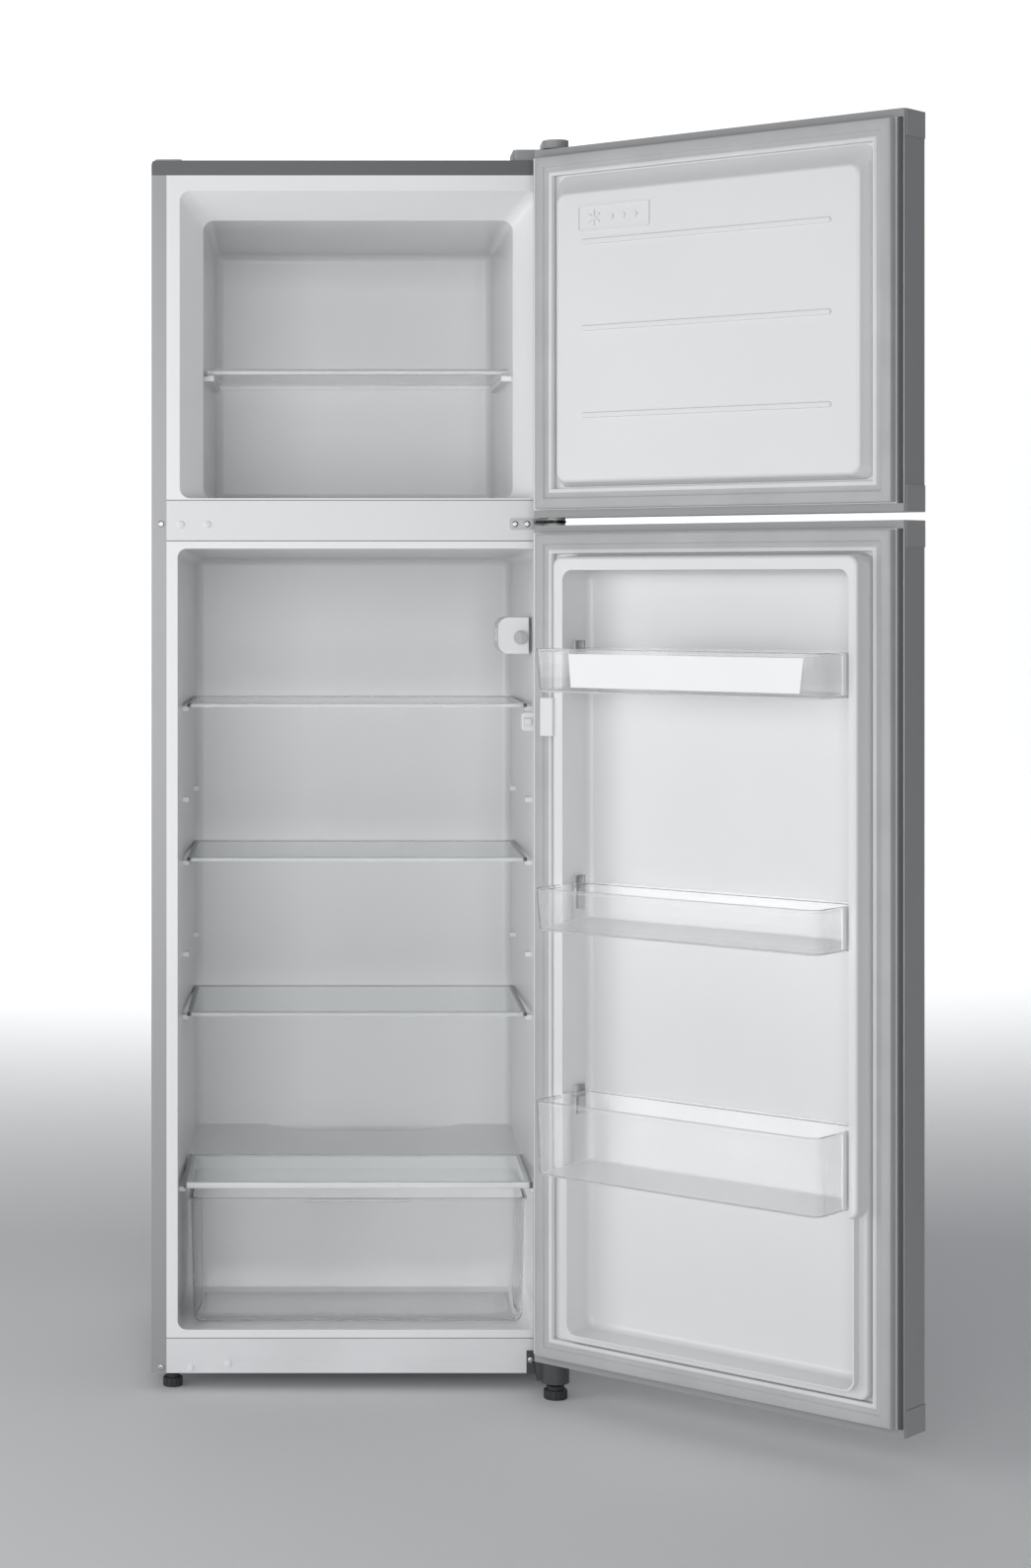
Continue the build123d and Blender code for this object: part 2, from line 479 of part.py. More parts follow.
def gasket(z0, z1):
    """A magnetic seal: a foot, a waist and a soft rounded lip."""
    edge, end = GASKET_EDGE, GASKET_T
    u0, u1 = edge, CAB_W - edge
    seal = ring(u0, u1, z0 + edge, z1 - edge, -end, 0, GASKET_W, 5)
    waist_out = ring(u0 - 1, u1 + 1, z0 + edge - 1, z1 - edge + 1, -6.5, -3.5, 4, 2)
    waist_in = ring(u0 + GASKET_W - 3, u1 - GASKET_W + 3, z0 + edge + GASKET_W - 3,
                    z1 - edge - GASKET_W + 3, -6.5, -3.5, 6, 2)
    crease = ring(u0 + 9, u1 - 9, z0 + edge + 9, z1 - edge - 9, -end - 1, -end + 2.5, 3, 2)
    return seal - waist_out - waist_in - crease


def door_core(z0, z1, t):
    """Everything behind the liner's face: t is 0 at the face and the wall behind it."""
    far = 25.0 if t == 0 else 40.0
    grow = 0 if t == 0 else 20
    base = door_block(SKIN_T - grow, CAB_W - SKIN_T - GROOVE_W + grow, t, far,
                      z0 + CAP_H - grow, z1 - CAP_H + grow)
    return base


def freezer_pad(t):
    """The raised pad of the freezer door, with a long slope at its top."""
    def level(n, slope):
        u0, u1 = PLATEAU_U[0] + t + slope["hinge"], PLATEAU_U[1] - t - slope["free"]
        low, high = PLATEAU_BOTTOM + t + slope["bottom"], PLATEAU_TOP - t - slope["top"]
        plane = Plane(origin=(HALF - (u0 + u1) / 2, DOOR_IN - n, (low + high) / 2),
                      x_dir=(1, 0, 0), z_dir=(0, 1, 0))
        return (plane * RectangleRounded(u1 - u0, high - low, 14)).face()
    flat = {side: 0.0 for side in PLATEAU_SLOPE}
    foot = door_block(PLATEAU_U[0] + t + 14, PLATEAU_U[1] - t - 14, t, t + 5,
                      PLATEAU_BOTTOM + t + 14, PLATEAU_TOP - t - 14)
    pad = loft([level(t, flat), level(t - PLATEAU_H, PLATEAU_SLOPE)])
    pad = fillet(pad.faces().sort_by(Axis.Y)[-1].edges(), 5)
    return pad + foot


def fridge_pads(t):
    tall = door_tub(DYKE_SIDE + t, CAB_W - DYKE_FREE + 1.5 - t, DYKE_BOTTOM + t, DYKE_TOP - t,
                    t + 5, DYKE_H + 5, 16, 4, 4.5)
    low = door_tub(DYKE_SIDE + 4 + t, CAB_W - DYKE_FREE + 1.5 - t, LOW_RIM_BOTTOM + t,
                   DYKE_BOTTOM + 60, t + 5, LOW_RIM_H + 5, 12, 4, 3.5)
    return tall + low


def fridge_recess(t):
    """The hollow that the bins hang in, cut from the liner's face."""
    depth = RECESS_N + DYKE_H + 2
    floor_side = DYKE_SIDE + DYKE_WALL
    plane = Plane(origin=((HALF - floor_side + HALF - CAB_W + DYKE_FREE + 12.5) / 2,
                          DOOR_IN + DYKE_H + 2, (RECESS_TOP + RECESS_BOTTOM) / 2),
                  x_dir=(1, 0, 0), z_dir=(0, -1, 0))
    wide = CAB_W - floor_side - DYKE_FREE - 12.5 + 2 * t
    high = RECESS_TOP - RECESS_BOTTOM + 2 * t
    solid = extrude(plane * RectangleRounded(wide, high, 14), amount=depth + t, taper=0.6)
    return fillet(solid.faces().sort_by(Axis.Y)[0].edges(), 9)


def cap(z_out, up, z_cap_in):
    """A moulded end cap with a skirt over the free edge."""
    z0, z1 = sorted((z_out, z_cap_in))
    slab = door_block(0, CAB_W, 0, DOOR_T, z0, z1)
    slab = fillet(slab.edges().filter_by(Axis.Z), 3)
    s0, s1 = sorted((z_out, z_out - CAP_SKIRT if up else z_out + CAP_SKIRT))
    skirt = door_block(CAB_W, CAB_W + 1.2, 4, DOOR_T - 4, s0, s1)
    skirt = skirt + door_block(CAB_W - 6, CAB_W + 1.2, 4, DOOR_T - 4, z0, z1)
    return slab + skirt


def bush(z_face, into):
    """A flanged sleeve for a hinge pin: into is +1 when it goes up into the door."""
    x, y = PIVOT
    sleeve = rod(BUSH_R, (x, y, z_face - into * 0.1), (x, y, z_face + into * (PIN_GRIP + 4)))
    flange = rod(BUSH_FLANGE_R, (x, y, z_face - into * BUSH_FLANGE_T), (x, y, z_face))
    bore = rod(PIN_R + RUN_FIT, (x, y, z_face - into * 9), (x, y, z_face + into * (PIN_GRIP + 2)))
    return sleeve + flange - bore


def bush_hole(z0, z1):
    return rod(BUSH_R, (PIVOT[0], PIVOT[1], z0), (PIVOT[0], PIVOT[1], z1))


def door_grip(z0, z1):
    """The strip that lines the finger groove along the free edge, and the groove itself."""
    inner = CAB_W - SKIN_T - GROOVE_W
    groove = door_block(inner, CAB_W, -1, GROOVE_D, z0, z1)
    strip = door_block(inner - GRIP_T, CAB_W - SKIN_T, 0, GROOVE_D + GRIP_T, z0 + CAP_H,
                       z1 - CAP_H)
    return strip - groove, groove


def make_door(name, zs, liner, behind):
    z0, z1 = zs
    skin = door_block(0, CAB_W, 0, DOOR_T, z0 + CAP_H, z1 - CAP_H)
    skin = fillet(skin.edges().filter_by(Axis.Z).group_by(Axis.Y)[0], 5)
    inside = door_block(SKIN_T, CAB_W - SKIN_T, -1, DOOR_T - SKIN_T, z0, z1)
    inside = fillet(inside.edges().filter_by(Axis.Z).group_by(Axis.Y)[0], 4)
    keep(name + "_skin", opened(skin - inside))

    low_cap, high_cap = cap(z0, False, z0 + CAP_H), cap(z1, True, z1 - CAP_H)
    low_cap = low_cap - bush_hole(z0 - 5, z0 + CAP_H + 5)
    high_cap = high_cap - bush_hole(z1 - CAP_H - 5, z1 + 5)
    grip, groove = door_grip(z0, z1)
    keep(name + "_caps", opened(low_cap), opened(high_cap), opened(grip))
    keep(name + "_bushes", opened(bush(z0, 1)), opened(bush(z1, -1)))

    liner = liner - grip
    foam = inside & door_block(0, CAB_W, 0, DOOR_T, z0 + CAP_H, z1 - CAP_H)
    foam = foam - groove - grip
    foam = foam & behind
    foam = foam - bush_hole(z0, z0 + PIN_GRIP + 4) - bush_hole(z1 - PIN_GRIP - 4, z1)
    keep(name + "_foam", opened(foam))
    keep(name + "_liner", opened(liner))
    keep(name + "_gasket", opened(gasket(z0, z1)))


def freezer_door():
    z0, z1 = FRZ_DOOR_Z
    face = door_core(z0, z1, 0) + freezer_pad(0)
    behind = door_core(z0, z1, LINER_T) + freezer_pad(LINER_T) + door_block(
        -20, CAB_W + 20, LINER_T, DOOR_T + 5, z0, z1)
    liner = face - behind
    top = -PLATEAU_H
    for z in RIB_Z:
        bar = door_block(*RIB_U, top - RIB_OUT, top + 1, z - RIB_H / 2, z + RIB_H / 2)
        bar = fillet(bar.edges().filter_by(Axis.Y), RIB_H / 2 - 0.2)
        liner = liner + fillet(bar.faces().sort_by(Axis.Y)[-1].edges(), RIB_OUT * 0.6)
    liner = liner + ring(*PANEL_U, *PANEL_Z, top - EMBOSS, top + 1, 2.0, 1.5)
    star_u, star_z = PANEL_U[0] + 25, sum(PANEL_Z) / 2     # a plain six-armed star and three dots
    x, y = HALF - star_u, DOOR_IN + PLATEAU_H
    arm = Pos(x, y, star_z) * Box(2.4, 2 * EMBOSS, 20)
    for turn in (0, 60, 120):
        spin = Pos(x, y, star_z) * Rot(0, turn, 0) * Pos(-x, -y, -star_z)
        liner = liner + spin * arm
    for i in range(3):
        dot = Rot(90, 0, 0) * Cylinder(4, 2 * EMBOSS)
        liner = liner + Pos(x - 26 - 18 * i, y, star_z) * dot
    make_door("freezer_door", FRZ_DOOR_Z, liner, behind)


def bin_span():
    """Both ends of a bin in door terms."""
    return DYKE_SIDE + DYKE_WALL + BIN_END_GAP, CAB_W - DYKE_FREE - 12.5 - BIN_END_GAP


def lug(u_wall, inward, z_top):
    u0, u1 = sorted((u_wall - inward * 1.5, u_wall + inward * LUG_OUT))
    return door_block(u0, u1, -LUG_W, 0, z_top - LUG_H, z_top)


def fridge_door():
    z0, z1 = FRG_DOOR_Z
    face = door_core(z0, z1, 0) + fridge_pads(0) - fridge_recess(0)
    recess_back = fridge_recess(LINER_T)
    behind = door_block(-20, CAB_W + 20, LINER_T, DOOR_T + 5, z0, z1) + fridge_pads(LINER_T)
    behind = behind - recess_back
    floor = recess_back - fridge_recess(0)
    liner = (face - behind) + (floor & door_block(0, CAB_W, -DYKE_H + 9, 40, z0, z1))
    u0, u1 = bin_span()
    for bottom, high in BIN_Z.values():
        top = bottom + high - 8
        liner = liner + lug(u0 - BIN_END_GAP, 1, top) + lug(u1 + BIN_END_GAP, -1, top)
    striker = door_block(SWITCH_U - 5, DYKE_SIDE + 6, -DYKE_H - 4, -DYKE_H + 4,
                         SWITCH_Z - 12, SWITCH_Z + 38)
    liner = liner + fillet(striker.edges().filter_by(Axis.X), 2)
    make_door("fridge_door", FRG_DOOR_Z, liner, behind)
    for level, (bottom, high) in BIN_Z.items():
        make_bin("bin_" + level, bottom, high)


def make_bin(name, bottom, high):
    u0, u1 = bin_span()
    lean = 9.0

    def shell(inset, z_low, z_high):
        """A tray whose front wall leans outward."""
        back = DOOR_IN - BIN_BACK + inset
        reach = DOOR_IN + BIN_REACH - inset
        low = reach - lean
        x0, x1 = HALF - u1 + inset, HALF - u0 - inset
        outline = Plane.YZ * Polygon((back, z_low), (low, z_low), (reach, z_high),
                                     (back, z_high), align=None)
        solid = Pos(x0, 0, 0) * extrude(outline, amount=x1 - x0)
        picked = solid.edges().filter_by(Axis.X).group_by(Axis.Z)[0].sort_by(Axis.Y)[-1]
        solid = fillet(picked, 7)
        return solid
    top = bottom + high
    tray = shell(0, bottom, top)
    tray = tray - shell(BIN_WALL, bottom + BIN_WALL, top + 0.01)
    rim = shell(-1.2, top - 3.5, top) - shell(BIN_WALL, bottom + BIN_WALL, top + 0.01)
    tray = tray + (rim & door_block(u0, u1, -BIN_REACH - 2, BIN_BACK, top - 4, top + 1))
    z_top = top - 8
    for u_wall, inward in ((u0 - BIN_END_GAP, 1), (u1 + BIN_END_GAP, -1)):
        a = u_wall + inward * 0.7
        b = u_wall + inward * (BIN_END_GAP + 0.8)
        hang = door_block(*sorted((a, b)), -LUG_W - 5, 5, z_top - LUG_H, z_top + 4)
        hole = door_block(*sorted((u_wall - inward, u_wall + inward * (LUG_OUT + 0.4))),
                          -LUG_W - 0.4, 0.4, z_top - LUG_H - 1, z_top)
        tray = tray + (hang - hole)
    keep(name, opened(tray))


# ================================================================ hinges, feet, rollers
def make_hinges():
    x, y = PIVOT
    top_z = FRZ_DOOR_Z[1] + 3.0
    base = block(x - 46, x + 8, FRONT + 6, FRONT + 70, CAB_TOP, CAB_TOP + PLATE_T)
    riser = block(x - 22, x + 12, FRONT + 3, FRONT + 6, CAB_TOP, top_z + PLATE_T)
    arm = block(x - 14, x + 12, y, FRONT + 6, top_z, top_z + PLATE_T)
    tip = Pos(x, y, top_z + PLATE_T / 2) * Cylinder(14, PLATE_T)
    bracket = base + riser + arm + tip - rod(PIN_R, (x, y, top_z - 9), (x, y, top_z + 9))
    screw_at = [(x - 34, FRONT + 22), (x - 34, FRONT + 54), (x - 6, FRONT + 54)]
    for sx, sy in screw_at:
        bracket = bracket - Pos(sx, sy, CAB_TOP) * Cylinder(2.6, 12)
    keep("top_hinge_bracket", bracket)

    lid_top = top_z + PLATE_T + 8.0
    lid = Pos(x, y, (top_z + lid_top) / 2 - 0) * Cylinder(17, lid_top - top_z)
    lid = lid + block(x - 17, x + 14, y, FRONT + 2, top_z, lid_top)
    tail = block(x - 52, x + 14, FRONT + 2, FRONT + 76, CAB_TOP, lid_top - 5)
    tail = fillet(tail.edges().filter_by(Axis.Z), 6)
    lid = lid + tail
    hollow = Pos(x, y, top_z) * Cylinder(14.6, 2 * (PLATE_T + 3.6))
    hollow = hollow + block(x - 14.6, x + 12.4, y, FRONT + 3, top_z - 9, top_z + PLATE_T + 3)
    hollow = hollow + block(x - 49, x + 12.4, FRONT + 2.9, FRONT + 73, CAB_TOP - 1,
                            top_z + PLATE_T + 0.4)
    keep("top_hinge_cover", lid - hollow)

    # middle hinge: a flange on the mullion and a plate between the doors
    mid = (FRZ_DOOR_Z[0] + FRG_DOOR_Z[1]) / 2
    z0, z1 = mid - PLATE_T / 2, mid + PLATE_T / 2
    flange = block(x - 57, x - 13, FRONT - PLATE_T, FRONT, mid - 9, mid + 5)
    flange = fillet(flange.edges().filter_by(Axis.Y), 3)
    arm = block(x - 26, x + 12, y, FRONT, z0, z1)
    tip = Pos(x, y, mid) * Cylinder(14, PLATE_T)
    bracket = flange + arm + tip - rod(PIN_R, (x, y, z0 - 9), (x, y, z1 + 9))
    mid_screws = [(x - 50, mid - 2), (x - 34, mid - 2)]
    for sx, sz in mid_screws:
        bracket = bracket - rod(2.6, (sx, FRONT - 9, sz), (sx, FRONT + 9, sz))
    keep("middle_hinge_bracket", bracket)

    # bottom hinge: a folded bracket that also carries the right levelling foot
    low_top = FRG_DOOR_Z[0] - 3.0
    low_z = low_top - PLATE_T
    flange = block(x - 35, x + 15, FRONT - PLATE_T, FRONT, 22, 52)
    arm = block(x - 24, x + 15, y, FRONT, low_z, low_top)
    tip = Pos(x, y, (low_z + low_top) / 2) * Cylinder(18, PLATE_T)
    skirt = Pos(x, y, 33) * (Cylinder(18, 24) - Cylinder(15, 30))
    skirt = skirt + block(x - 24, x - 21, y, FRONT, 22, low_z) + block(
        x + 12, x + 15, y, FRONT, 22, low_z) + block(x - 24, x - 15, y, y + 3, 22, low_z)
    nut = Pos(x, y, 27) * Cylinder(9, 10) + Pos(x, y, 23.5) * Cylinder(16, 3)
    bracket = flange + arm + tip + skirt + nut
    bracket = bracket - rod(PIN_R, (x, y, low_z - 1), (x, y, low_top + 9))
    bracket = bracket - rod(STUD_R + RUN_FIT, (x, y, 10), (x, y, 36))
    low_screws = [(x - 29.5, 40), (x + 5, 33)]
    for sx, sz in low_screws:
        bracket = bracket - rod(2.6, (sx, FRONT - 9, sz), (sx, FRONT + 9, sz))
    keep("bottom_hinge_bracket", bracket)

    pins = [rod(PIN_R, (x, y, FRZ_DOOR_Z[1] - PIN_GRIP), (x, y, top_z + PLATE_T)),
            rod(PIN_R, (x, y, FRG_DOOR_Z[1] - PIN_GRIP), (x, y, FRZ_DOOR_Z[0] + PIN_GRIP)),
            rod(PIN_R, (x, y, low_z), (x, y, FRG_DOOR_Z[0] + PIN_GRIP))]
    keep("hinge_pins", *pins)

    screws = []
    for sx, sy in screw_at:
        screws.append(Pos(sx, sy, CAB_TOP + PLATE_T + 1.2) * Cylinder(4.5, 2.4)
                      + Pos(sx, sy, CAB_TOP + PLATE_T / 2) * Cylinder(2.6, PLATE_T))
    for places in (mid_screws, low_screws):
        for sx, sz in places:
            head = rod(4.2, (sx, FRONT - PLATE_T - 2, sz), (sx, FRONT - PLATE_T, sz))
            screws.append(head + rod(2.6, (sx, FRONT - PLATE_T, sz), (sx, FRONT, sz)))
    for z in (1140.1, 29.5):       # spare hinge screws on the left flange
        sx = -HALF + 12.8
        screws.append(rod(4.2, (sx, FRONT - 2, z), (sx, FRONT, z)))
    keep("hinge_screws", *screws)


def foot(name, x, y, radius, stud_top):
    """A levelling foot: ribbed disc on a threaded stud."""
    disc = Pos(x, y, 6) * Cylinder(radius, 12)
    disc = fillet(disc.edges().filter_by(GeomType.CIRCLE), 1.5)
    for i in range(12):
        a = math.tau * i / 12
        disc = disc - Pos(x + (radius + 0.6) * math.cos(a), y + (radius + 0.6) * math.sin(a),
                          6) * Cylinder(1.6, 30)
    neck = Pos(x, y, 14.5) * Cylinder(radius - 4, 5)
    stud = rod(STUD_R, (x, y, 12), (x, y, stud_top))
    keep(name, disc + neck + stud)


def make_feet():
    foot("foot_left", -HALF + 27.2, FRONT + 24, FOOT_R, 38)
    foot("foot_right", PIVOT[0], PIVOT[1], FOOT_R_RIGHT, 34)
    brackets = []
    for side, name in ((-1, "roller_left"), (1, "roller_right")):
        x, y, z = side * (HALF - 40), BACK - 34, ROLLER_R
        wheel = rod(ROLLER_R, (x - ROLLER_W / 2, y, z), (x + ROLLER_W / 2, y, z))
        wheel = fillet(wheel.edges().filter_by(GeomType.CIRCLE), 2)
        bore = rod(AXLE_R + RUN_FIT, (x - 20, y, z), (x + 20, y, z))
        for i in range(5):
            a = math.tau * i / 5
            at = (y + 8 * math.cos(a), z + 8 * math.sin(a))
            bore = bore + rod(1.8, (x - 20, *at), (x + 20, *at))
        keep(name, wheel - bore)
        ears = block(x - 10, x - 7.5, y - 9, y + 9, 6, 36) + block(x + 7.5, x + 10, y - 9, y + 9,
                                                                   6, 36)
        web = block(x - 10, x + 10, y - 9, y + 9, 33.5, 36)
        axle = rod(AXLE_R, (x - 12, y, z), (x + 12, y, z))
        brackets.append(ears + web + axle)
    keep("roller_brackets", *brackets)


os.makedirs("parts", exist_ok=True)
make_case()
make_liners()
make_front_trim()
make_cooling()
make_controls()
make_shelves()
freezer_door()
fridge_door()
make_hinges()
make_feet()
print(len(made), "nodes")
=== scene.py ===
"""Looks of the top freezer refrigerator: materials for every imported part, finer pieces in place
of the plainest ones, and a pale studio. Lengths are in metres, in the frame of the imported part:
+Z up, the front faces -Y, and the origin is on the floor under the middle of the cabinet.
"""
import json
import math

import bmesh
import bpy
from mathutils import Matrix, Vector


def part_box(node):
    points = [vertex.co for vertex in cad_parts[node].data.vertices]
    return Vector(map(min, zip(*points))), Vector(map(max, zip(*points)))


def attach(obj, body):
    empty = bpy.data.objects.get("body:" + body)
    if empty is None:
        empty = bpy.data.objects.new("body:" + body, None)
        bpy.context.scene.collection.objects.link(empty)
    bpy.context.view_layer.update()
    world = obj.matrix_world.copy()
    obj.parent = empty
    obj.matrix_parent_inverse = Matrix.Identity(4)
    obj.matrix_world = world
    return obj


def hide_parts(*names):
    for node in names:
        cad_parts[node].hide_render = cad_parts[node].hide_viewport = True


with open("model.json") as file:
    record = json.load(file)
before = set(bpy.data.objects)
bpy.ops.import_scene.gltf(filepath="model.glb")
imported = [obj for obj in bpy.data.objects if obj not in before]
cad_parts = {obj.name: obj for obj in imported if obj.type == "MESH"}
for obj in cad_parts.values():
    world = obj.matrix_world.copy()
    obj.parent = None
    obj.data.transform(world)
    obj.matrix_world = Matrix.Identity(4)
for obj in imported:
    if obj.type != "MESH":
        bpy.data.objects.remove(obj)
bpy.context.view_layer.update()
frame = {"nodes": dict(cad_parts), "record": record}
nodes = frame["nodes"]
MM = 0.001

# ---------------------------------------------------------------- camera and studio
CAMERA_AT = (-0.0683, -4.228, 1.061)
LENS, SHIFT = 69.35, (0.1332, -0.1275)
FLOOR_SIZE = 26.0
BACKDROP_Y, BACKDROP_TOP = 9.0, 12.0
BACKDROP_RADIUS, BACKDROP_STEPS = 2.5, 12        # the curve between the floor and the wall
FLOOR_COLOUR, FLOOR_ROUGH = (0.86, 0.862, 0.865), 0.9
SKY_COLOUR, SKY_STRENGTH = (0.93, 0.95, 1, 1), 0.27
LIGHTS = [                       # name, place, aim, size, watts
    ("key", (-2.6, -1.5, 1.05), (0.3, -0.55, 0.95), (2.4, 2.1), 30),
    ("fill", (-0.6, -4.4, 1.15), (0, 0, 0.75), (2.6, 2.2), 56),
    ("backdrop", (0.0, 3.6, 4.6), (0.0, 8.6, 1.4), (7.0, 2.4), 420),
]


def make_camera():
    data = bpy.data.cameras.new("camera")
    data.lens = LENS
    data.shift_x, data.shift_y = SHIFT
    camera = bpy.data.objects.new("camera", data)
    camera.location = CAMERA_AT
    camera.rotation_euler = (math.radians(90), 0, 0)
    bpy.context.scene.collection.objects.link(camera)
    bpy.context.scene.camera = camera


def area_light(name, at, target, size, power):
    data = bpy.data.lights.new(name, "AREA")
    data.shape, data.size, data.size_y = "RECTANGLE", size[0], size[1]
    data.energy = power
    light = bpy.data.objects.new(name, data)
    light.location = at
    light.rotation_euler = (Vector(target) - Vector(at)).to_track_quat("-Z", "Y").to_euler()
    bpy.context.scene.collection.objects.link(light)


def make_studio():
    """A pale floor that curves up into a backdrop, a key light, a fill and a backdrop light."""
    bm = bmesh.new()
    curve_y = BACKDROP_Y - BACKDROP_RADIUS
    path = [(-FLOOR_SIZE / 2, 0.0), (curve_y, 0.0)]
    for i in range(1, BACKDROP_STEPS + 1):
        a = math.radians(90 * i / BACKDROP_STEPS)
        path.append((curve_y + BACKDROP_RADIUS * math.sin(a),
                     BACKDROP_RADIUS - BACKDROP_RADIUS * math.cos(a)))
    path.append((BACKDROP_Y, BACKDROP_TOP))
    rows = [[bm.verts.new((x, y, z)) for x in (-FLOOR_SIZE / 2, FLOOR_SIZE / 2)] for y, z in path]
    for low, high in zip(rows, rows[1:]):
        bm.faces.new((low[0], low[1], high[1], high[0]))
    mesh = bpy.data.meshes.new("studio_floor")
    bm.to_mesh(mesh)
    for face in mesh.polygons:
        face.use_smooth = True
    floor = bpy.data.objects.new("studio_floor", mesh)
    bpy.context.scene.collection.objects.link(floor)
    mesh.materials.append(plain_material("studio_pale", FLOOR_COLOUR, FLOOR_ROUGH))
    for light in LIGHTS:
        area_light(*light)
    world = bpy.data.worlds.new("studio_world")
    world.use_nodes = True
    sky = world.node_tree.nodes["Background"]
    sky.inputs["Color"].default_value = SKY_COLOUR
    sky.inputs["Strength"].default_value = SKY_STRENGTH
    bpy.context.scene.world = world
    bpy.context.scene.view_settings.view_transform = "Standard"


# ---------------------------------------------------------------- materials
MIX_FACTOR, MIX_FIRST, MIX_SECOND, MIX_RESULT = 0, 6, 7, 2    # a Mix node's colour sockets
GRAIN_RELIEF = 0.4 * MM
PLASTIC_IOR = 1.49


def plain_material(name, colour, rough):
    material = bpy.data.materials.new(name)
    material.use_nodes = True
    shader = material.node_tree.nodes["Principled BSDF"]
    shader.inputs["Base Color"].default_value = (*colour, 1)
    shader.inputs["Roughness"].default_value = rough
    return material


def noise(tree, coords, scale, detail, stretch=(1, 1, 1)):
    """A noise pattern in object coordinates; stretch above 1 packs it along that axis."""
    mapping = tree.nodes.new("ShaderNodeMapping")
    mapping.inputs["Scale"].default_value = stretch
    texture = tree.nodes.new("ShaderNodeTexNoise")
    texture.inputs["Scale"].default_value = scale
    texture.inputs["Detail"].default_value = detail
    tree.links.new(coords.outputs["Object"], mapping.inputs["Vector"])
    tree.links.new(mapping.outputs["Vector"], texture.inputs["Vector"])
    return texture.outputs["Fac"]


def ramp(tree, source, low, high, start=0.3, end=0.7):
    """Map a pattern to a range of values."""
    node = tree.nodes.new("ShaderNodeMapRange")
    node.inputs["From Min"].default_value, node.inputs["From Max"].default_value = start, end
    node.inputs["To Min"].default_value, node.inputs["To Max"].default_value = low, high
    tree.links.new(source, node.inputs["Value"])
    return node.outputs["Result"]


def mix_colours(tree, factor, first, second):
    """Mix towards the second colour; the first is a colour or the output of another node."""
    mix = tree.nodes.new("ShaderNodeMix")
    mix.data_type = "RGBA"
    tree.links.new(factor, mix.inputs[MIX_FACTOR])
    if isinstance(first, bpy.types.NodeSocket):
        tree.links.new(first, mix.inputs[MIX_FIRST])
    else:
        mix.inputs[MIX_FIRST].default_value = (*first, 1)
    mix.inputs[MIX_SECOND].default_value = (*second, 1)
    return mix.outputs[MIX_RESULT]


def finish_material(name, colour, rough, metal=0.0, blotch=(7.0, 0.05), grain=(900.0, 0.1),
                    stretch=(1, 1, 1), bump=0.05, worn=0.0, **sockets):
    """A surface with slow colour drift and a fine grain in its roughness and bump.

    blotch is (scale, strength) of the colour drift; grain is (scale, roughness spread); worn is
    how much paler the outer edges are; sockets are further values of the shader.
    """
    material = bpy.data.materials.new(name)
    material.use_nodes = True
    tree = material.node_tree
    shader = tree.nodes["Principled BSDF"]
    coords = tree.nodes.new("ShaderNodeTexCoord")
    slow = noise(tree, coords, blotch[0], 3)
    fine = noise(tree, coords, grain[0], 2, stretch)
    strength = blotch[1]
    colour_out = mix_colours(tree, ramp(tree, slow, 0, 1),
                             [c * (1 - strength) for c in colour],
                             [min(1, c * (1 + strength)) for c in colour])
    if worn:
        edge = tree.nodes.new("ShaderNodeNewGeometry")
        colour_out = mix_colours(tree, ramp(tree, edge.outputs["Pointiness"], 0, 1, 0.52, 0.62),
                                 colour_out, [min(1, c + worn) for c in colour])
    tree.links.new(colour_out, shader.inputs["Base Color"])
    tree.links.new(ramp(tree, fine, rough - grain[1], rough + grain[1], 0.2, 0.8),
                   shader.inputs["Roughness"])
    relief = tree.nodes.new("ShaderNodeBump")
    relief.inputs["Strength"].default_value = bump
    relief.inputs["Distance"].default_value = GRAIN_RELIEF
    tree.links.new(fine, relief.inputs["Height"])
    tree.links.new(relief.outputs["Normal"], shader.inputs["Normal"])
    shader.inputs["Metallic"].default_value = metal
    for key, value in sockets.items():
        shader.inputs[key.replace("_", " ")].default_value = value
    return material


def clear_material(name, colour, rough, clear, grain=(600.0, 0.02), bump=0.02):
    """Clear plastic or glass: clear is the share of light that passes straight through."""
    material = finish_material(name, colour, rough, grain=grain, blotch=(5.0, 0.02), bump=bump)
    shader = material.node_tree.nodes["Principled BSDF"]
    shader.inputs["Transmission Weight"].default_value = clear
    shader.inputs["IOR"].default_value = PLASTIC_IOR
    return material


def masked(material, axis, start, end, colour):
    """Blend to another colour between two places along an object axis.

    axis "X" takes the distance from the middle, so it works on both sides at once.
    """
    tree = material.node_tree
    shader = tree.nodes["Principled BSDF"]
    coords = tree.nodes.new("ShaderNodeTexCoord")
    split = tree.nodes.new("ShaderNodeSeparateXYZ")
    tree.links.new(coords.outputs["Object"], split.inputs["Vector"])
    place = split.outputs[axis]
    if axis == "X":
        size = tree.nodes.new("ShaderNodeMath")
        size.operation = "ABSOLUTE"
        tree.links.new(place, size.inputs[0])
        place = size.outputs[0]
    mask = ramp(tree, place, 0, 1, start, end)
    before = shader.inputs["Base Color"].links[0].from_socket
    tree.links.new(mix_colours(tree, mask, before, colour), shader.inputs["Base Color"])
    return material


def liner_finish(name, colour):
    """The glossy moulded sheet of the liners."""
    return finish_material(name, colour, 0.32, grain=(260, 0.05), bump=0.05, blotch=(3.0, 0.02),
                           Coat_Weight=0.25, Coat_Roughness=0.2)


def foam_finish(name):
    return finish_material(name, (0.85, 0.78, 0.58), 0.9, grain=(380, 0.06), bump=0.5,
                           blotch=(30, 0.1))


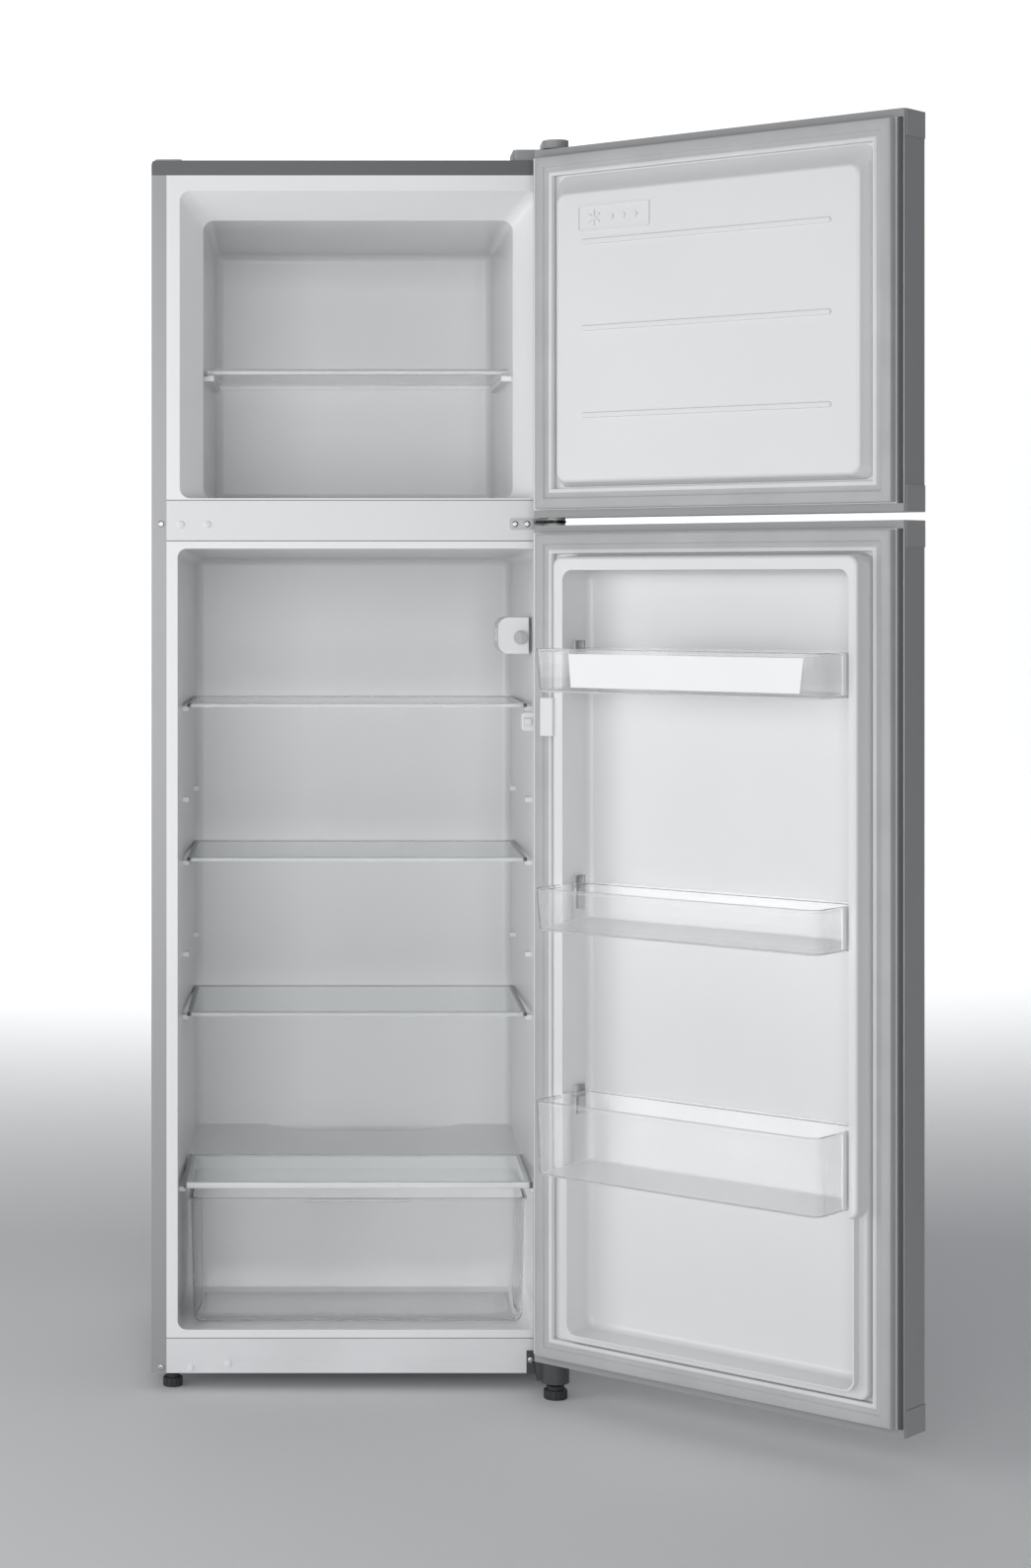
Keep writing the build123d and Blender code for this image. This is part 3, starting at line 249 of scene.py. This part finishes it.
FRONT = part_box("freezer_liner")[0][1]                    # the cabinet's front plane
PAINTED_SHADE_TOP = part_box("freezer_liner")[1][2] - 0.5 * MM     # the case is painted near black above this height, as painted shade on its top strip
SHELF_EDGE, COVER_EDGE = (0.2235, 0.2245), (0.2265, 0.2275)   # where the trims' dark ends start
DARK_EDGE = (0.28, 0.285, 0.29)
# DOOR_PALE is PALE in a darker tone: painted shade on the door liners and the mullion cover; the
# shelf trims take it too
PALE, DOOR_PALE = (0.90, 0.905, 0.91), (0.80, 0.805, 0.81)
MATERIALS = {
    # case_paint: painted shade, near black, on the case above the freezer liner's top
    "case_paint": lambda n: masked(finish_material(n, (0.30, 0.305, 0.31), 0.40, 0.35,
                                                   grain=(1800, 0.06), bump=0.06, worn=0.06),
                                   "Z", PAINTED_SHADE_TOP, PAINTED_SHADE_TOP + 1 * MM, (0.13, 0.132, 0.135)),
    "door_steel": lambda n: finish_material(n, (0.36, 0.365, 0.37), 0.34, 0.55, grain=(420, 0.09),
                                            stretch=(9, 9, 0.12), bump=0.05, worn=0.05),
    "white_liner": lambda n: liner_finish(n, PALE),
    # door_liner: the liners' finish in the darker DOOR_PALE, as painted shade
    "door_liner": lambda n: liner_finish(n, DOOR_PALE),
    "white_steel": lambda n: finish_material(n, (0.80, 0.81, 0.82), 0.38, grain=(700, 0.05),
                                             bump=0.08),
    "white_plastic": lambda n: finish_material(n, (0.83, 0.84, 0.85), 0.4, grain=(1100, 0.05),
                                               bump=0.1),
    "knob_grey": lambda n: finish_material(n, (0.52, 0.525, 0.53), 0.4, grain=(1100, 0.05),
                                           bump=0.1, worn=0.08),
    "cap_grey": lambda n: finish_material(n, (0.30, 0.305, 0.31), 0.46, grain=(1500, 0.07),
                                          bump=0.14, worn=0.05),
    "gasket_grey": lambda n: finish_material(n, (0.49, 0.495, 0.50), 0.55, grain=(1300, 0.06),
                                             bump=0.1, blotch=(16, 0.05)),
    # the inner lip's paler grey is a painted highlight
    "lip_painted_highlight": lambda n: finish_material(n, (0.78, 0.785, 0.79), 0.45, grain=(1300, 0.05),
                                          bump=0.1, blotch=(16, 0.03)),
    "galvanised": lambda n: finish_material(n, (0.55, 0.56, 0.57), 0.45, 0.8, grain=(60, 0.13),
                                            bump=0.06, blotch=(45, 0.16)),
    "aluminium": lambda n: finish_material(n, (0.75, 0.76, 0.77), 0.35, 0.9, grain=(300, 0.08)),
    "foam_cream": foam_finish,
    # cabinet_foam: the foam is painted dark grey up to 8 mm behind the front plane, as painted
    # shade, so the gaps between the front parts read as shadow lines
    "cabinet_foam": lambda n: masked(foam_finish(n), "Y", FRONT + 0.010, FRONT + 0.008,
                                     (0.20, 0.20, 0.20)),
    "black_enamel": lambda n: finish_material(n, (0.022, 0.023, 0.025), 0.34, grain=(500, 0.08),
                                              bump=0.12, worn=0.05),
    "hinge_plate": lambda n: masked(finish_material(n, (0.30, 0.30, 0.305), 0.42, 0.85,
                                                    grain=(900, 0.1), worn=0.1),
                                    "Y", FRONT - 0.005, FRONT - 0.006, (0.02, 0.02, 0.021)),
    "zinc": lambda n: finish_material(n, (0.50, 0.50, 0.51), 0.32, 0.95, grain=(900, 0.1),
                                      stretch=(1, 1, 6), blotch=(60, 0.1), worn=0.1),
    "black_plastic": lambda n: finish_material(n, (0.03, 0.031, 0.033), 0.55, grain=(1400, 0.08),
                                               bump=0.2),
    "black_rubber": lambda n: finish_material(n, (0.02, 0.02, 0.021), 0.8, grain=(1200, 0.06),
                                              bump=0.25),
    "copper": lambda n: finish_material(n, (0.72, 0.38, 0.25), 0.3, 0.95, grain=(400, 0.1),
                                        blotch=(40, 0.18)),
    "nylon": lambda n: finish_material(n, (0.78, 0.78, 0.74), 0.5, grain=(800, 0.05), bump=0.1),
    "shelf_glass": lambda n: clear_material(n, (0.90, 0.94, 0.93), 0.03, 0.95),
    "shelf_trim": lambda n: masked(clear_material(n, DOOR_PALE, 0.18, 0.55, bump=0.1),
                                   "X", *SHELF_EDGE, DARK_EDGE),
    "cover_trim": lambda n: masked(clear_material(n, PALE, 0.12, 0.45, bump=0.1),
                                   "X", *COVER_EDGE, DARK_EDGE),
    "freezer_shelf": lambda n: clear_material(n, PALE, 0.10, 0.55, bump=0.1),
    "lamp_clear": lambda n: clear_material(n, PALE, 0.25, 0.5, bump=0.1),
    "clear_bin": lambda n: clear_material(n, (0.93, 0.932, 0.935), 0.04, 0.93),
    "milky_floor": lambda n: clear_material(n, (0.96, 0.965, 0.97), 0.12, 0.25),
    "panel_white": lambda n: finish_material(n, (0.95, 0.953, 0.956), 0.18, grain=(900, 0.03),
                                             bump=0.04, blotch=(8, 0.01)),
    # clear_drawer is the bins' clear plastic in a darker tone, as painted shade on the crisper
    # drawer
    "clear_drawer": lambda n: clear_material(n, (0.84, 0.845, 0.85), 0.04, 0.94),
}
LOOKS = {
    "case_paint": ["outer_case"],
    "door_steel": ["freezer_door_skin", "fridge_door_skin"],
    "white_liner": ["freezer_liner", "fridge_liner"],
    "door_liner": ["freezer_door_liner", "fridge_door_liner", "mullion_cover"],
    "white_steel": ["lower_front_rail"],
    "white_plastic": ["thermostat_housing", "switch_housing", "switch_plunger", "hole_plugs"],
    "knob_grey": ["thermostat_knob"],
    "cap_grey": ["freezer_door_caps", "fridge_door_caps", "top_hinge_cover"],
    "gasket_grey": ["freezer_door_gasket", "fridge_door_gasket"],
    "galvanised": ["back_panel", "base_plate", "compressor_tray", "roller_brackets"],
    "aluminium": ["evaporator_plates"],
    "cabinet_foam": ["cabinet_foam"],
    "foam_cream": ["freezer_door_foam", "fridge_door_foam"],
    "black_enamel": ["compressor", "condenser_coil", "condenser_wires", "bottom_hinge_bracket",
                     "top_hinge_bracket"],
    "hinge_plate": ["middle_hinge_bracket"],
    "zinc": ["hinge_pins", "hinge_screws"],
    "black_plastic": ["foot_left", "foot_right", "roller_left", "roller_right",
                      "condenser_clips", "drip_tray"],
    "black_rubber": ["compressor_grommets"],
    "copper": ["refrigerant_tubes"],
    "nylon": ["freezer_door_bushes", "fridge_door_bushes"],
    "shelf_glass": ["shelf_upper_glass", "shelf_middle_glass", "shelf_lower_glass",
                    "crisper_cover_glass", "lamp_bulb"],
    "shelf_trim": ["shelf_upper_trim", "shelf_middle_trim", "shelf_lower_trim"],
    "cover_trim": ["crisper_cover_trim"],
    "freezer_shelf": ["freezer_shelf"],
    "lamp_clear": ["lamp_cover"],
    "clear_bin": ["bin_upper", "bin_middle", "bin_lower"],
    "clear_drawer": ["crisper_drawer"],
}
CLEAR = ("shelf_glass", "shelf_trim", "cover_trim", "freezer_shelf", "lamp_clear", "clear_bin",
         "clear_drawer")                 # these throw no shadow, so light gets past them
looks = {name: make(name) for name, make in MATERIALS.items()}


def dress_nodes():
    """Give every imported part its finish."""
    for look, names in LOOKS.items():
        for name in names:
            part = nodes[name]
            if not part.material_slots:
                part.data.materials.append(None)
            for slot in part.material_slots:
                slot.material = looks[look]
            part.visible_shadow = look not in CLEAR
    left = set(nodes) - {n for names in LOOKS.values() for n in names}
    assert not left, left


# ---------------------------------------------------------------- door terms
joints = {j["name"]: j for j in frame["record"]["behaviour"]["joints"]}
hinge = joints["fridge_door_hinge"]
DOORS = ("freezer_door", "fridge_door")
PIVOT = Vector((hinge["pos_m"][0], hinge["pos_m"][1], 0))
DOOR_OPEN = math.radians(-hinge["range_deg"][0])
OPENED = Matrix.Translation(PIVOT) @ Matrix.Rotation(DOOR_OPEN, 4, "Z") @ Matrix.Translation(-PIVOT)


def shut_box(name):
    """A door part's lowest and highest corner with its door turned shut."""
    shut = OPENED.inverted()
    points = [shut @ v.co for v in nodes[name].data.vertices]
    return (Vector([min(p[i] for p in points) for i in range(3)]),
            Vector([max(p[i] for p in points) for i in range(3)]))


CORNER_STEPS, BEVEL_STEPS, TURN_STEPS = 6, 2, 28


def new_piece(name, bm, material, body, like, replaced=True, smooth=30.0):
    """Finish a mesh as a piece that rides on a body.

    It hides the CAD node like, which it replaces, unless replaced is False.
    """
    bmesh.ops.recalc_face_normals(bm, faces=bm.faces)
    mesh = bpy.data.meshes.new(name)
    bm.to_mesh(mesh)
    bm.free()
    mesh.materials.append(material)
    for face in mesh.polygons:
        face.use_smooth = True
    mesh.set_sharp_from_angle(angle=math.radians(smooth))
    piece = bpy.data.objects.new(name, mesh)
    bpy.context.scene.collection.objects.link(piece)
    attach(piece, body)
    if replaced:
        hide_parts(like)
    return piece


def loft_rings(bm, rings):
    """Skin equal rings of points and cap both ends."""
    loops = [[bm.verts.new(p) for p in ring] for ring in rings]
    for low, high in zip(loops, loops[1:]):
        count = len(low)
        for i in range(count):
            j = (i + 1) % count
            bm.faces.new((low[i], low[j], high[j], high[i]))
    bm.faces.new(loops[0][::-1])
    bm.faces.new(loops[-1])


def rounded_plan(x0, x1, y0, y1, radii):
    """A plan outline, counter-clockwise, with a radius for each corner.

    radii go: low x low y, high x low y, high x high y, low x high y.
    """
    corners = [(x0, y0, 1, 1, 180), (x1, y0, -1, 1, 270), (x1, y1, -1, -1, 0), (x0, y1, 1, -1, 90)]
    out = []
    for (x, y, sx, sy, start), r in zip(corners, radii):
        cx, cy = x + sx * r, y + sy * r
        for i in range(CORNER_STEPS + 1):
            a = math.radians(start + 90 * i / CORNER_STEPS)
            out.append((cx + r * math.cos(a), cy + r * math.sin(a)))
    return out


# ---------------------------------------------------------------- bins
BIN_WALL, BIN_LEAN, BIN_RIM_OUT, BIN_RIM_H = 2.2 * MM, 7 * MM, 1.0 * MM, 3.2 * MM
BIN_CORNER_FREE, BIN_CORNER_HINGE, BIN_CORNER_BACK, BIN_FOOT = 16 * MM, 7 * MM, 3 * MM, 6 * MM
BIN_CORNER_LEAST, RIM_ROUND_OUT, RIM_ROUND_IN = 0.8 * MM, 0.8 * MM, 0.6 * MM
RIPPLE, RIPPLE_STEP = 0.35 * MM, 2.6 * MM
RIPPLE_SHARE = {"upper": 0.0, "middle": 0.62, "lower": 0.0}    # how far up the walls it goes
MILKY_SHARE = 0.6                         # of the foot's height
HOOK_REACH = 3.7 * MM                     # the hooks reach past the tray's ends
EAR_BACK, EAR_IN, EAR_BRIDGE = 11 * MM, 3.4 * MM, 7.6 * MM
EAR_T, EAR_DEEP, EAR_DROP, EAR_RISE = 1.2 * MM, 20 * MM, 30 * MM, 9 * MM
EAR_BEVEL, BRIDGE_BEVEL = 0.4 * MM, 0.6 * MM
RIB_IN, RIB_DEEP = (2.3 * MM, 4.2 * MM), (41 * MM, 62 * MM)    # from the end, and from the back
RIB_FOOT, RIB_TOP, RIB_BEVEL = 4 * MM, 1 * MM, 0.5 * MM
PANEL_FOOT, PANEL_TOP, PANEL_CUT = 7 * MM, 6 * MM, 9 * MM
PANEL_GAP, PANEL_T, PANEL_START, PANEL_SHORT = 0.1 * MM, 0.8 * MM, 0.5 * MM, 0.13


def lean_at(low, high, z):
    """How far a bin's front wall is behind its rim at height z."""
    return BIN_LEAN * (high.z - z) / (high.z - low.z)


def bin_ring(low, high, z, inset):
    """A bin's plan at height z; its front wall leans out towards the top."""
    lean = lean_at(low, high, z)
    plan = rounded_plan(low.x + inset, high.x - inset, low.y + inset, high.y - inset - lean,
                        [max(r - inset, BIN_CORNER_LEAST) for r in
                         (BIN_CORNER_BACK, BIN_CORNER_BACK, BIN_CORNER_HINGE, BIN_CORNER_FREE)])
    return [OPENED @ Vector((x, y, z)) for x, y in plan]


def bin_mesh(low, high, ripple_top):
    """A thin moulded tray: outer skin, rolled rim, inner skin and floor."""
    bm = bmesh.new()
    rings = []
    for a in (0, 25, 50, 75, 90):           # round foot outside
        turn = math.radians(a)
        rings.append(bin_ring(low, high, low.z + BIN_FOOT * (1 - math.cos(turn)),
                              BIN_FOOT * (1 - math.sin(turn))))
    z = low.z + BIN_FOOT + RIPPLE_STEP
    while z < ripple_top:
        rings.append(bin_ring(low, high, z, RIPPLE))
        rings.append(bin_ring(low, high, z + RIPPLE_STEP / 2, 0))
        z += RIPPLE_STEP
    rim = high.z - BIN_RIM_H
    rings.append(bin_ring(low, high, rim - BIN_RIM_OUT, 0))
    rings.append(bin_ring(low, high, rim, -BIN_RIM_OUT))
    rings.append(bin_ring(low, high, high.z - RIM_ROUND_OUT, -BIN_RIM_OUT))
    rings.append(bin_ring(low, high, high.z, -BIN_RIM_OUT + RIM_ROUND_OUT))
    rings.append(bin_ring(low, high, high.z, BIN_WALL - RIM_ROUND_IN))
    rings.append(bin_ring(low, high, high.z - RIM_ROUND_IN, BIN_WALL))
    foot = low.z + BIN_FOOT
    inner = BIN_FOOT - BIN_WALL
    for a in (90, 65, 40, 15, 0):           # round foot inside
        turn = math.radians(a)
        rings.append(bin_ring(low, high, foot - inner * math.cos(turn),
                              BIN_FOOT - inner * math.sin(turn)))
    loft_rings(bm, rings)
    return bm


def add_block(bm, low, high, place=None, bevel=0.0):
    """A block with softened edges, added to a mesh."""
    made = bmesh.ops.create_cube(bm, size=1.0)
    for vert in made["verts"]:
        vert.co = Vector([low[i] if vert.co[i] < 0 else high[i] for i in range(3)])
    edges = {e for v in made["verts"] for e in v.link_edges}
    verts = set(made["verts"])
    if bevel:
        out = bmesh.ops.bevel(bm, geom=list(edges), offset=bevel, segments=BEVEL_STEPS,
                              affect="EDGES", profile=0.5)
        verts = {v for v in verts if v.is_valid} | set(out["verts"])
    if place is not None:
        for vert in verts:
            vert.co = place @ vert.co


def add_ears(bm, low, high):
    """A hook at each end of a bin, over the lugs of the door's liner."""
    back = low.y + EAR_BACK
    for wall_x, inward in ((low.x, 1), (high.x, -1)):
        inner = wall_x + inward * (EAR_IN + EAR_T)
        outer = wall_x + inward * EAR_IN
        add_block(bm, (min(inner, outer), back, high.z - EAR_DROP),
                  (max(inner, outer), back + EAR_DEEP, high.z + EAR_RISE), OPENED, EAR_BEVEL)
        add_block(bm, (min(inner, wall_x), back, high.z - EAR_BRIDGE),
                  (max(inner, wall_x), back + EAR_DEEP, high.z + EAR_RISE), OPENED, BRIDGE_BEVEL)


def make_end_ribs(level, low, high):
    """A white stop rib down each end of a bin."""
    bm = bmesh.new()
    for wall_x, inward in ((low.x, 1), (high.x, -1)):
        xs = sorted(wall_x + inward * reach for reach in RIB_IN)
        add_block(bm, (xs[0], low.y + RIB_DEEP[0], low.z + RIB_FOOT),
                  (xs[1], low.y + RIB_DEEP[1], high.z - RIB_TOP), OPENED, RIB_BEVEL)
    new_piece(f"bin_{level}_end_ribs", bm, looks["panel_white"], "bin_" + level,
              "freezer_liner", replaced=False)


def make_front_panel(low, high):
    """The white strip on the upper bin's front wall, slanted at its free end."""
    bm = bmesh.new()
    wide = high.x - low.x
    rings = []
    for z, cut in ((low.z + PANEL_FOOT, PANEL_CUT), (high.z - PANEL_TOP, 0.0)):
        y0 = high.y - lean_at(low, high, z) + PANEL_GAP
        y1 = y0 + PANEL_T
        x0, x1 = low.x + BIN_CORNER_FREE + PANEL_START + cut, high.x - wide * PANEL_SHORT
        rings.append([OPENED @ Vector((x, y, z))
                      for x, y in ((x0, y0), (x1, y0), (x1, y1), (x0, y1))])
    loft_rings(bm, rings)
    new_piece("bin_upper_front_panel", bm, looks["panel_white"], "bin_upper", "freezer_liner",
              replaced=False)


def make_bins():
    """Clear trays with a milky floor; the middle one is rippled low on its walls."""
    for level, share in RIPPLE_SHARE.items():
        node = "bin_" + level
        low, high = shut_box(node)
        end = Vector((HOOK_REACH, 0, 0))
        rim = Vector((0, BIN_RIM_OUT, 0))
        tray_low, tray_high = low + end + rim, high - end - rim
        bm = bin_mesh(tray_low, tray_high, tray_low.z + share * (high.z - low.z))
        floor_z = tray_low.z + BIN_FOOT * MILKY_SHARE
        for face in bm.faces:
            face.material_index = int(all(v.co.z < floor_z for v in face.verts))
        add_ears(bm, low, high)
        piece = new_piece(node + "_moulding", bm, looks["clear_bin"], node, node)
        piece.data.materials.append(looks["milky_floor"])
        piece.visible_shadow = False
        make_end_ribs(level, low, high)
        if level == "upper":
            make_front_panel(tray_low, tray_high)


# ---------------------------------------------------------------- door seals
# mm across from the seal's outer edge, and mm out from the liner
SEAL_PROFILE = [(0.0, 0.0), (0.0, 10.4), (0.6, 12.2), (2.4, 13.0), (12.6, 12.9), (13.6, 12.0),
                (14.2, 10.6), (15.2, 10.0), (19.6, 9.6), (20.6, 9.8), (21.8, 11.0),
                (23.2, 11.5), (24.8, 11.0), (25.8, 9.6), (26.0, 7.6), (25.6, 3.0), (25.6, 0.0)]
LIP_FROM, LIP_TO = 9, 14         # the soft inner lip's faces in the profile, painted paler as a painted highlight


def make_gaskets():
    """Swept magnetic seals with mitred corners: a square bulb outside and a soft lip inside, the
    lip painted paler as a painted highlight.
    """
    for door in DOORS:
        node = door + "_gasket"
        low, high = shut_box(node)
        bm = bmesh.new()
        rows = []
        for across, out in SEAL_PROFILE:
            a, y = across * MM, low.y + out * MM
            loop = [(low.x + a, y, low.z + a), (high.x - a, y, low.z + a),
                    (high.x - a, y, high.z - a), (low.x + a, y, high.z - a)]
            rows.append([bm.verts.new(OPENED @ Vector(p)) for p in loop])
        for k, (first, second) in enumerate(zip(rows, rows[1:] + rows[:1])):
            for i in range(4):
                j = (i + 1) % 4
                face = bm.faces.new((first[i], first[j], second[j], second[i]))
                face.material_index = int(LIP_FROM <= k <= LIP_TO)
        seal = new_piece(node + "_seal", bm, looks["gasket_grey"], door, node, smooth=50.0)
        seal.data.materials.append(looks["lip_painted_highlight"])


# ---------------------------------------------------------------- plugs and screws
CAP_THIN, CAP_BEVEL = 4 * MM, 1.0 * MM            # a plug lower than this is the flat cap
PLUG_HEAD, PLUG_NO_STEM, PLUG_STEM = 1.7 * MM, 2 * MM, 0.5
PLUG_EDGE = 0.35                                  # the share of the head under its dome
SCREW_HEAD, SCREW_SHANK, SCREW_DOME = 2.4 * MM, 0.6, 0.62
SCREW_DISH = [(0.42, 0.05 * MM), (0.36, 0.7 * MM)]     # share of the radius, and depth
CROSS_REACH, CROSS_HALF, CROSS_DEEP = 0.62, 0.45 * MM, 0.35 * MM


def islands(name):
    """The box of each separate solid of a part."""
    mesh = nodes[name].data
    bm = bmesh.new()
    bm.from_mesh(mesh)
    bmesh.ops.remove_doubles(bm, verts=bm.verts, dist=1e-6)
    seen, boxes = set(), []
    for start in bm.verts:
        if start in seen:
            continue
        group, todo = [], [start]
        seen.add(start)
        while todo:
            vert = todo.pop()
            group.append(vert.co.copy())
            for edge in vert.link_edges:
                other = edge.other_vert(vert)
                if other not in seen:
                    seen.add(other)
                    todo.append(other)
        boxes.append((Vector([min(p[i] for p in group) for i in range(3)]),
                      Vector([max(p[i] for p in group) for i in range(3)])))
    bm.free()
    return boxes


def add_turned(bm, centre, axis, profile):
    """A turned form: profile gives (radius, distance along the axis) from base to tip."""
    turn = Vector((0, 0, 1)).rotation_difference(Vector(axis)).to_matrix()
    rings = []
    for radius, along in profile:
        ring = []
        for i in range(TURN_STEPS):
            a = math.tau * i / TURN_STEPS
            ring.append(Vector(centre) + turn @ Vector((radius * math.cos(a),
                                                        radius * math.sin(a), along)))
        rings.append(ring)
    loft_rings(bm, rings)


def make_plugs():
    """White domed blanking plugs, and the plain cap on the case's top left corner."""
    bm = bmesh.new()
    for low, high in islands("hole_plugs"):
        size = high - low
        if size.z < CAP_THIN:
            add_block(bm, low, high, bevel=CAP_BEVEL)
            continue
        radius = min(size.x, size.z) / 2
        centre = ((low.x + high.x) / 2, high.y, (low.z + high.z) / 2)
        tall = size.y - PLUG_HEAD if size.y > PLUG_NO_STEM else 0.0   # stem in the mullion
        head = [(radius * PLUG_STEM, 0.0), (radius * PLUG_STEM, tall), (radius, tall)]
        for a in range(0, 91, 15):
            t = math.radians(a)
            head.append((radius * math.cos(t) * 0.999 + 0.00001,      # never quite a point
                         tall + (size.y - tall) * (PLUG_EDGE + (1 - PLUG_EDGE) * math.sin(t))))
        add_turned(bm, centre, (0, -1, 0), head)
    new_piece("hole_plug_domes", bm, looks["white_plastic"], "cabinet", "hole_plugs", smooth=40.0)


def make_screws():
    """Pan-head screws, dished in the middle, with a cross of two bars in the dish."""
    bm = bmesh.new()
    for low, high in islands("hinge_screws"):
        size = high - low
        upright = abs(size.x - size.y) < abs(size.x - size.z)
        axis = Vector((0, 0, 1) if upright else (0, -1, 0))
        span = size.z if upright else size.y
        radius = size.x / 2
        head = min(SCREW_HEAD, span)
        base = (low + high) / 2 - axis * span / 2
        profile = []
        if span > head + 0.5 * MM:       # there is a shank below the head
            profile = [(radius * SCREW_SHANK, 0.0), (radius * SCREW_SHANK, span - head)]
        profile += [(radius, span - head), (radius, span - head * SCREW_DOME)]
        for a in range(15, 76, 15):
            t = math.radians(a)
            profile.append((radius * (0.4 + 0.6 * math.cos(t)),
                            span - head * SCREW_DOME * (1 - math.sin(t) * 0.97)))
        profile += [(radius * share, span - depth) for share, depth in SCREW_DISH]
        add_turned(bm, base, axis, profile)
        cross = radius * CROSS_REACH
        box = (CROSS_HALF, cross, CROSS_DEEP) if upright else (CROSS_HALF, CROSS_DEEP, cross)
        for turn in (0, 90):
            spin = Matrix.Rotation(math.radians(turn), 4, axis)
            place = Matrix.Translation(base + axis * (span - 0.4 * MM)) @ spin
            add_block(bm, [-b for b in box], box, place)
    new_piece("hinge_screw_heads", bm, looks["zinc"], "cabinet", "hinge_screws", smooth=35.0)


make_camera()
make_studio()
dress_nodes()
make_bins()
make_gaskets()
make_plugs()
make_screws()
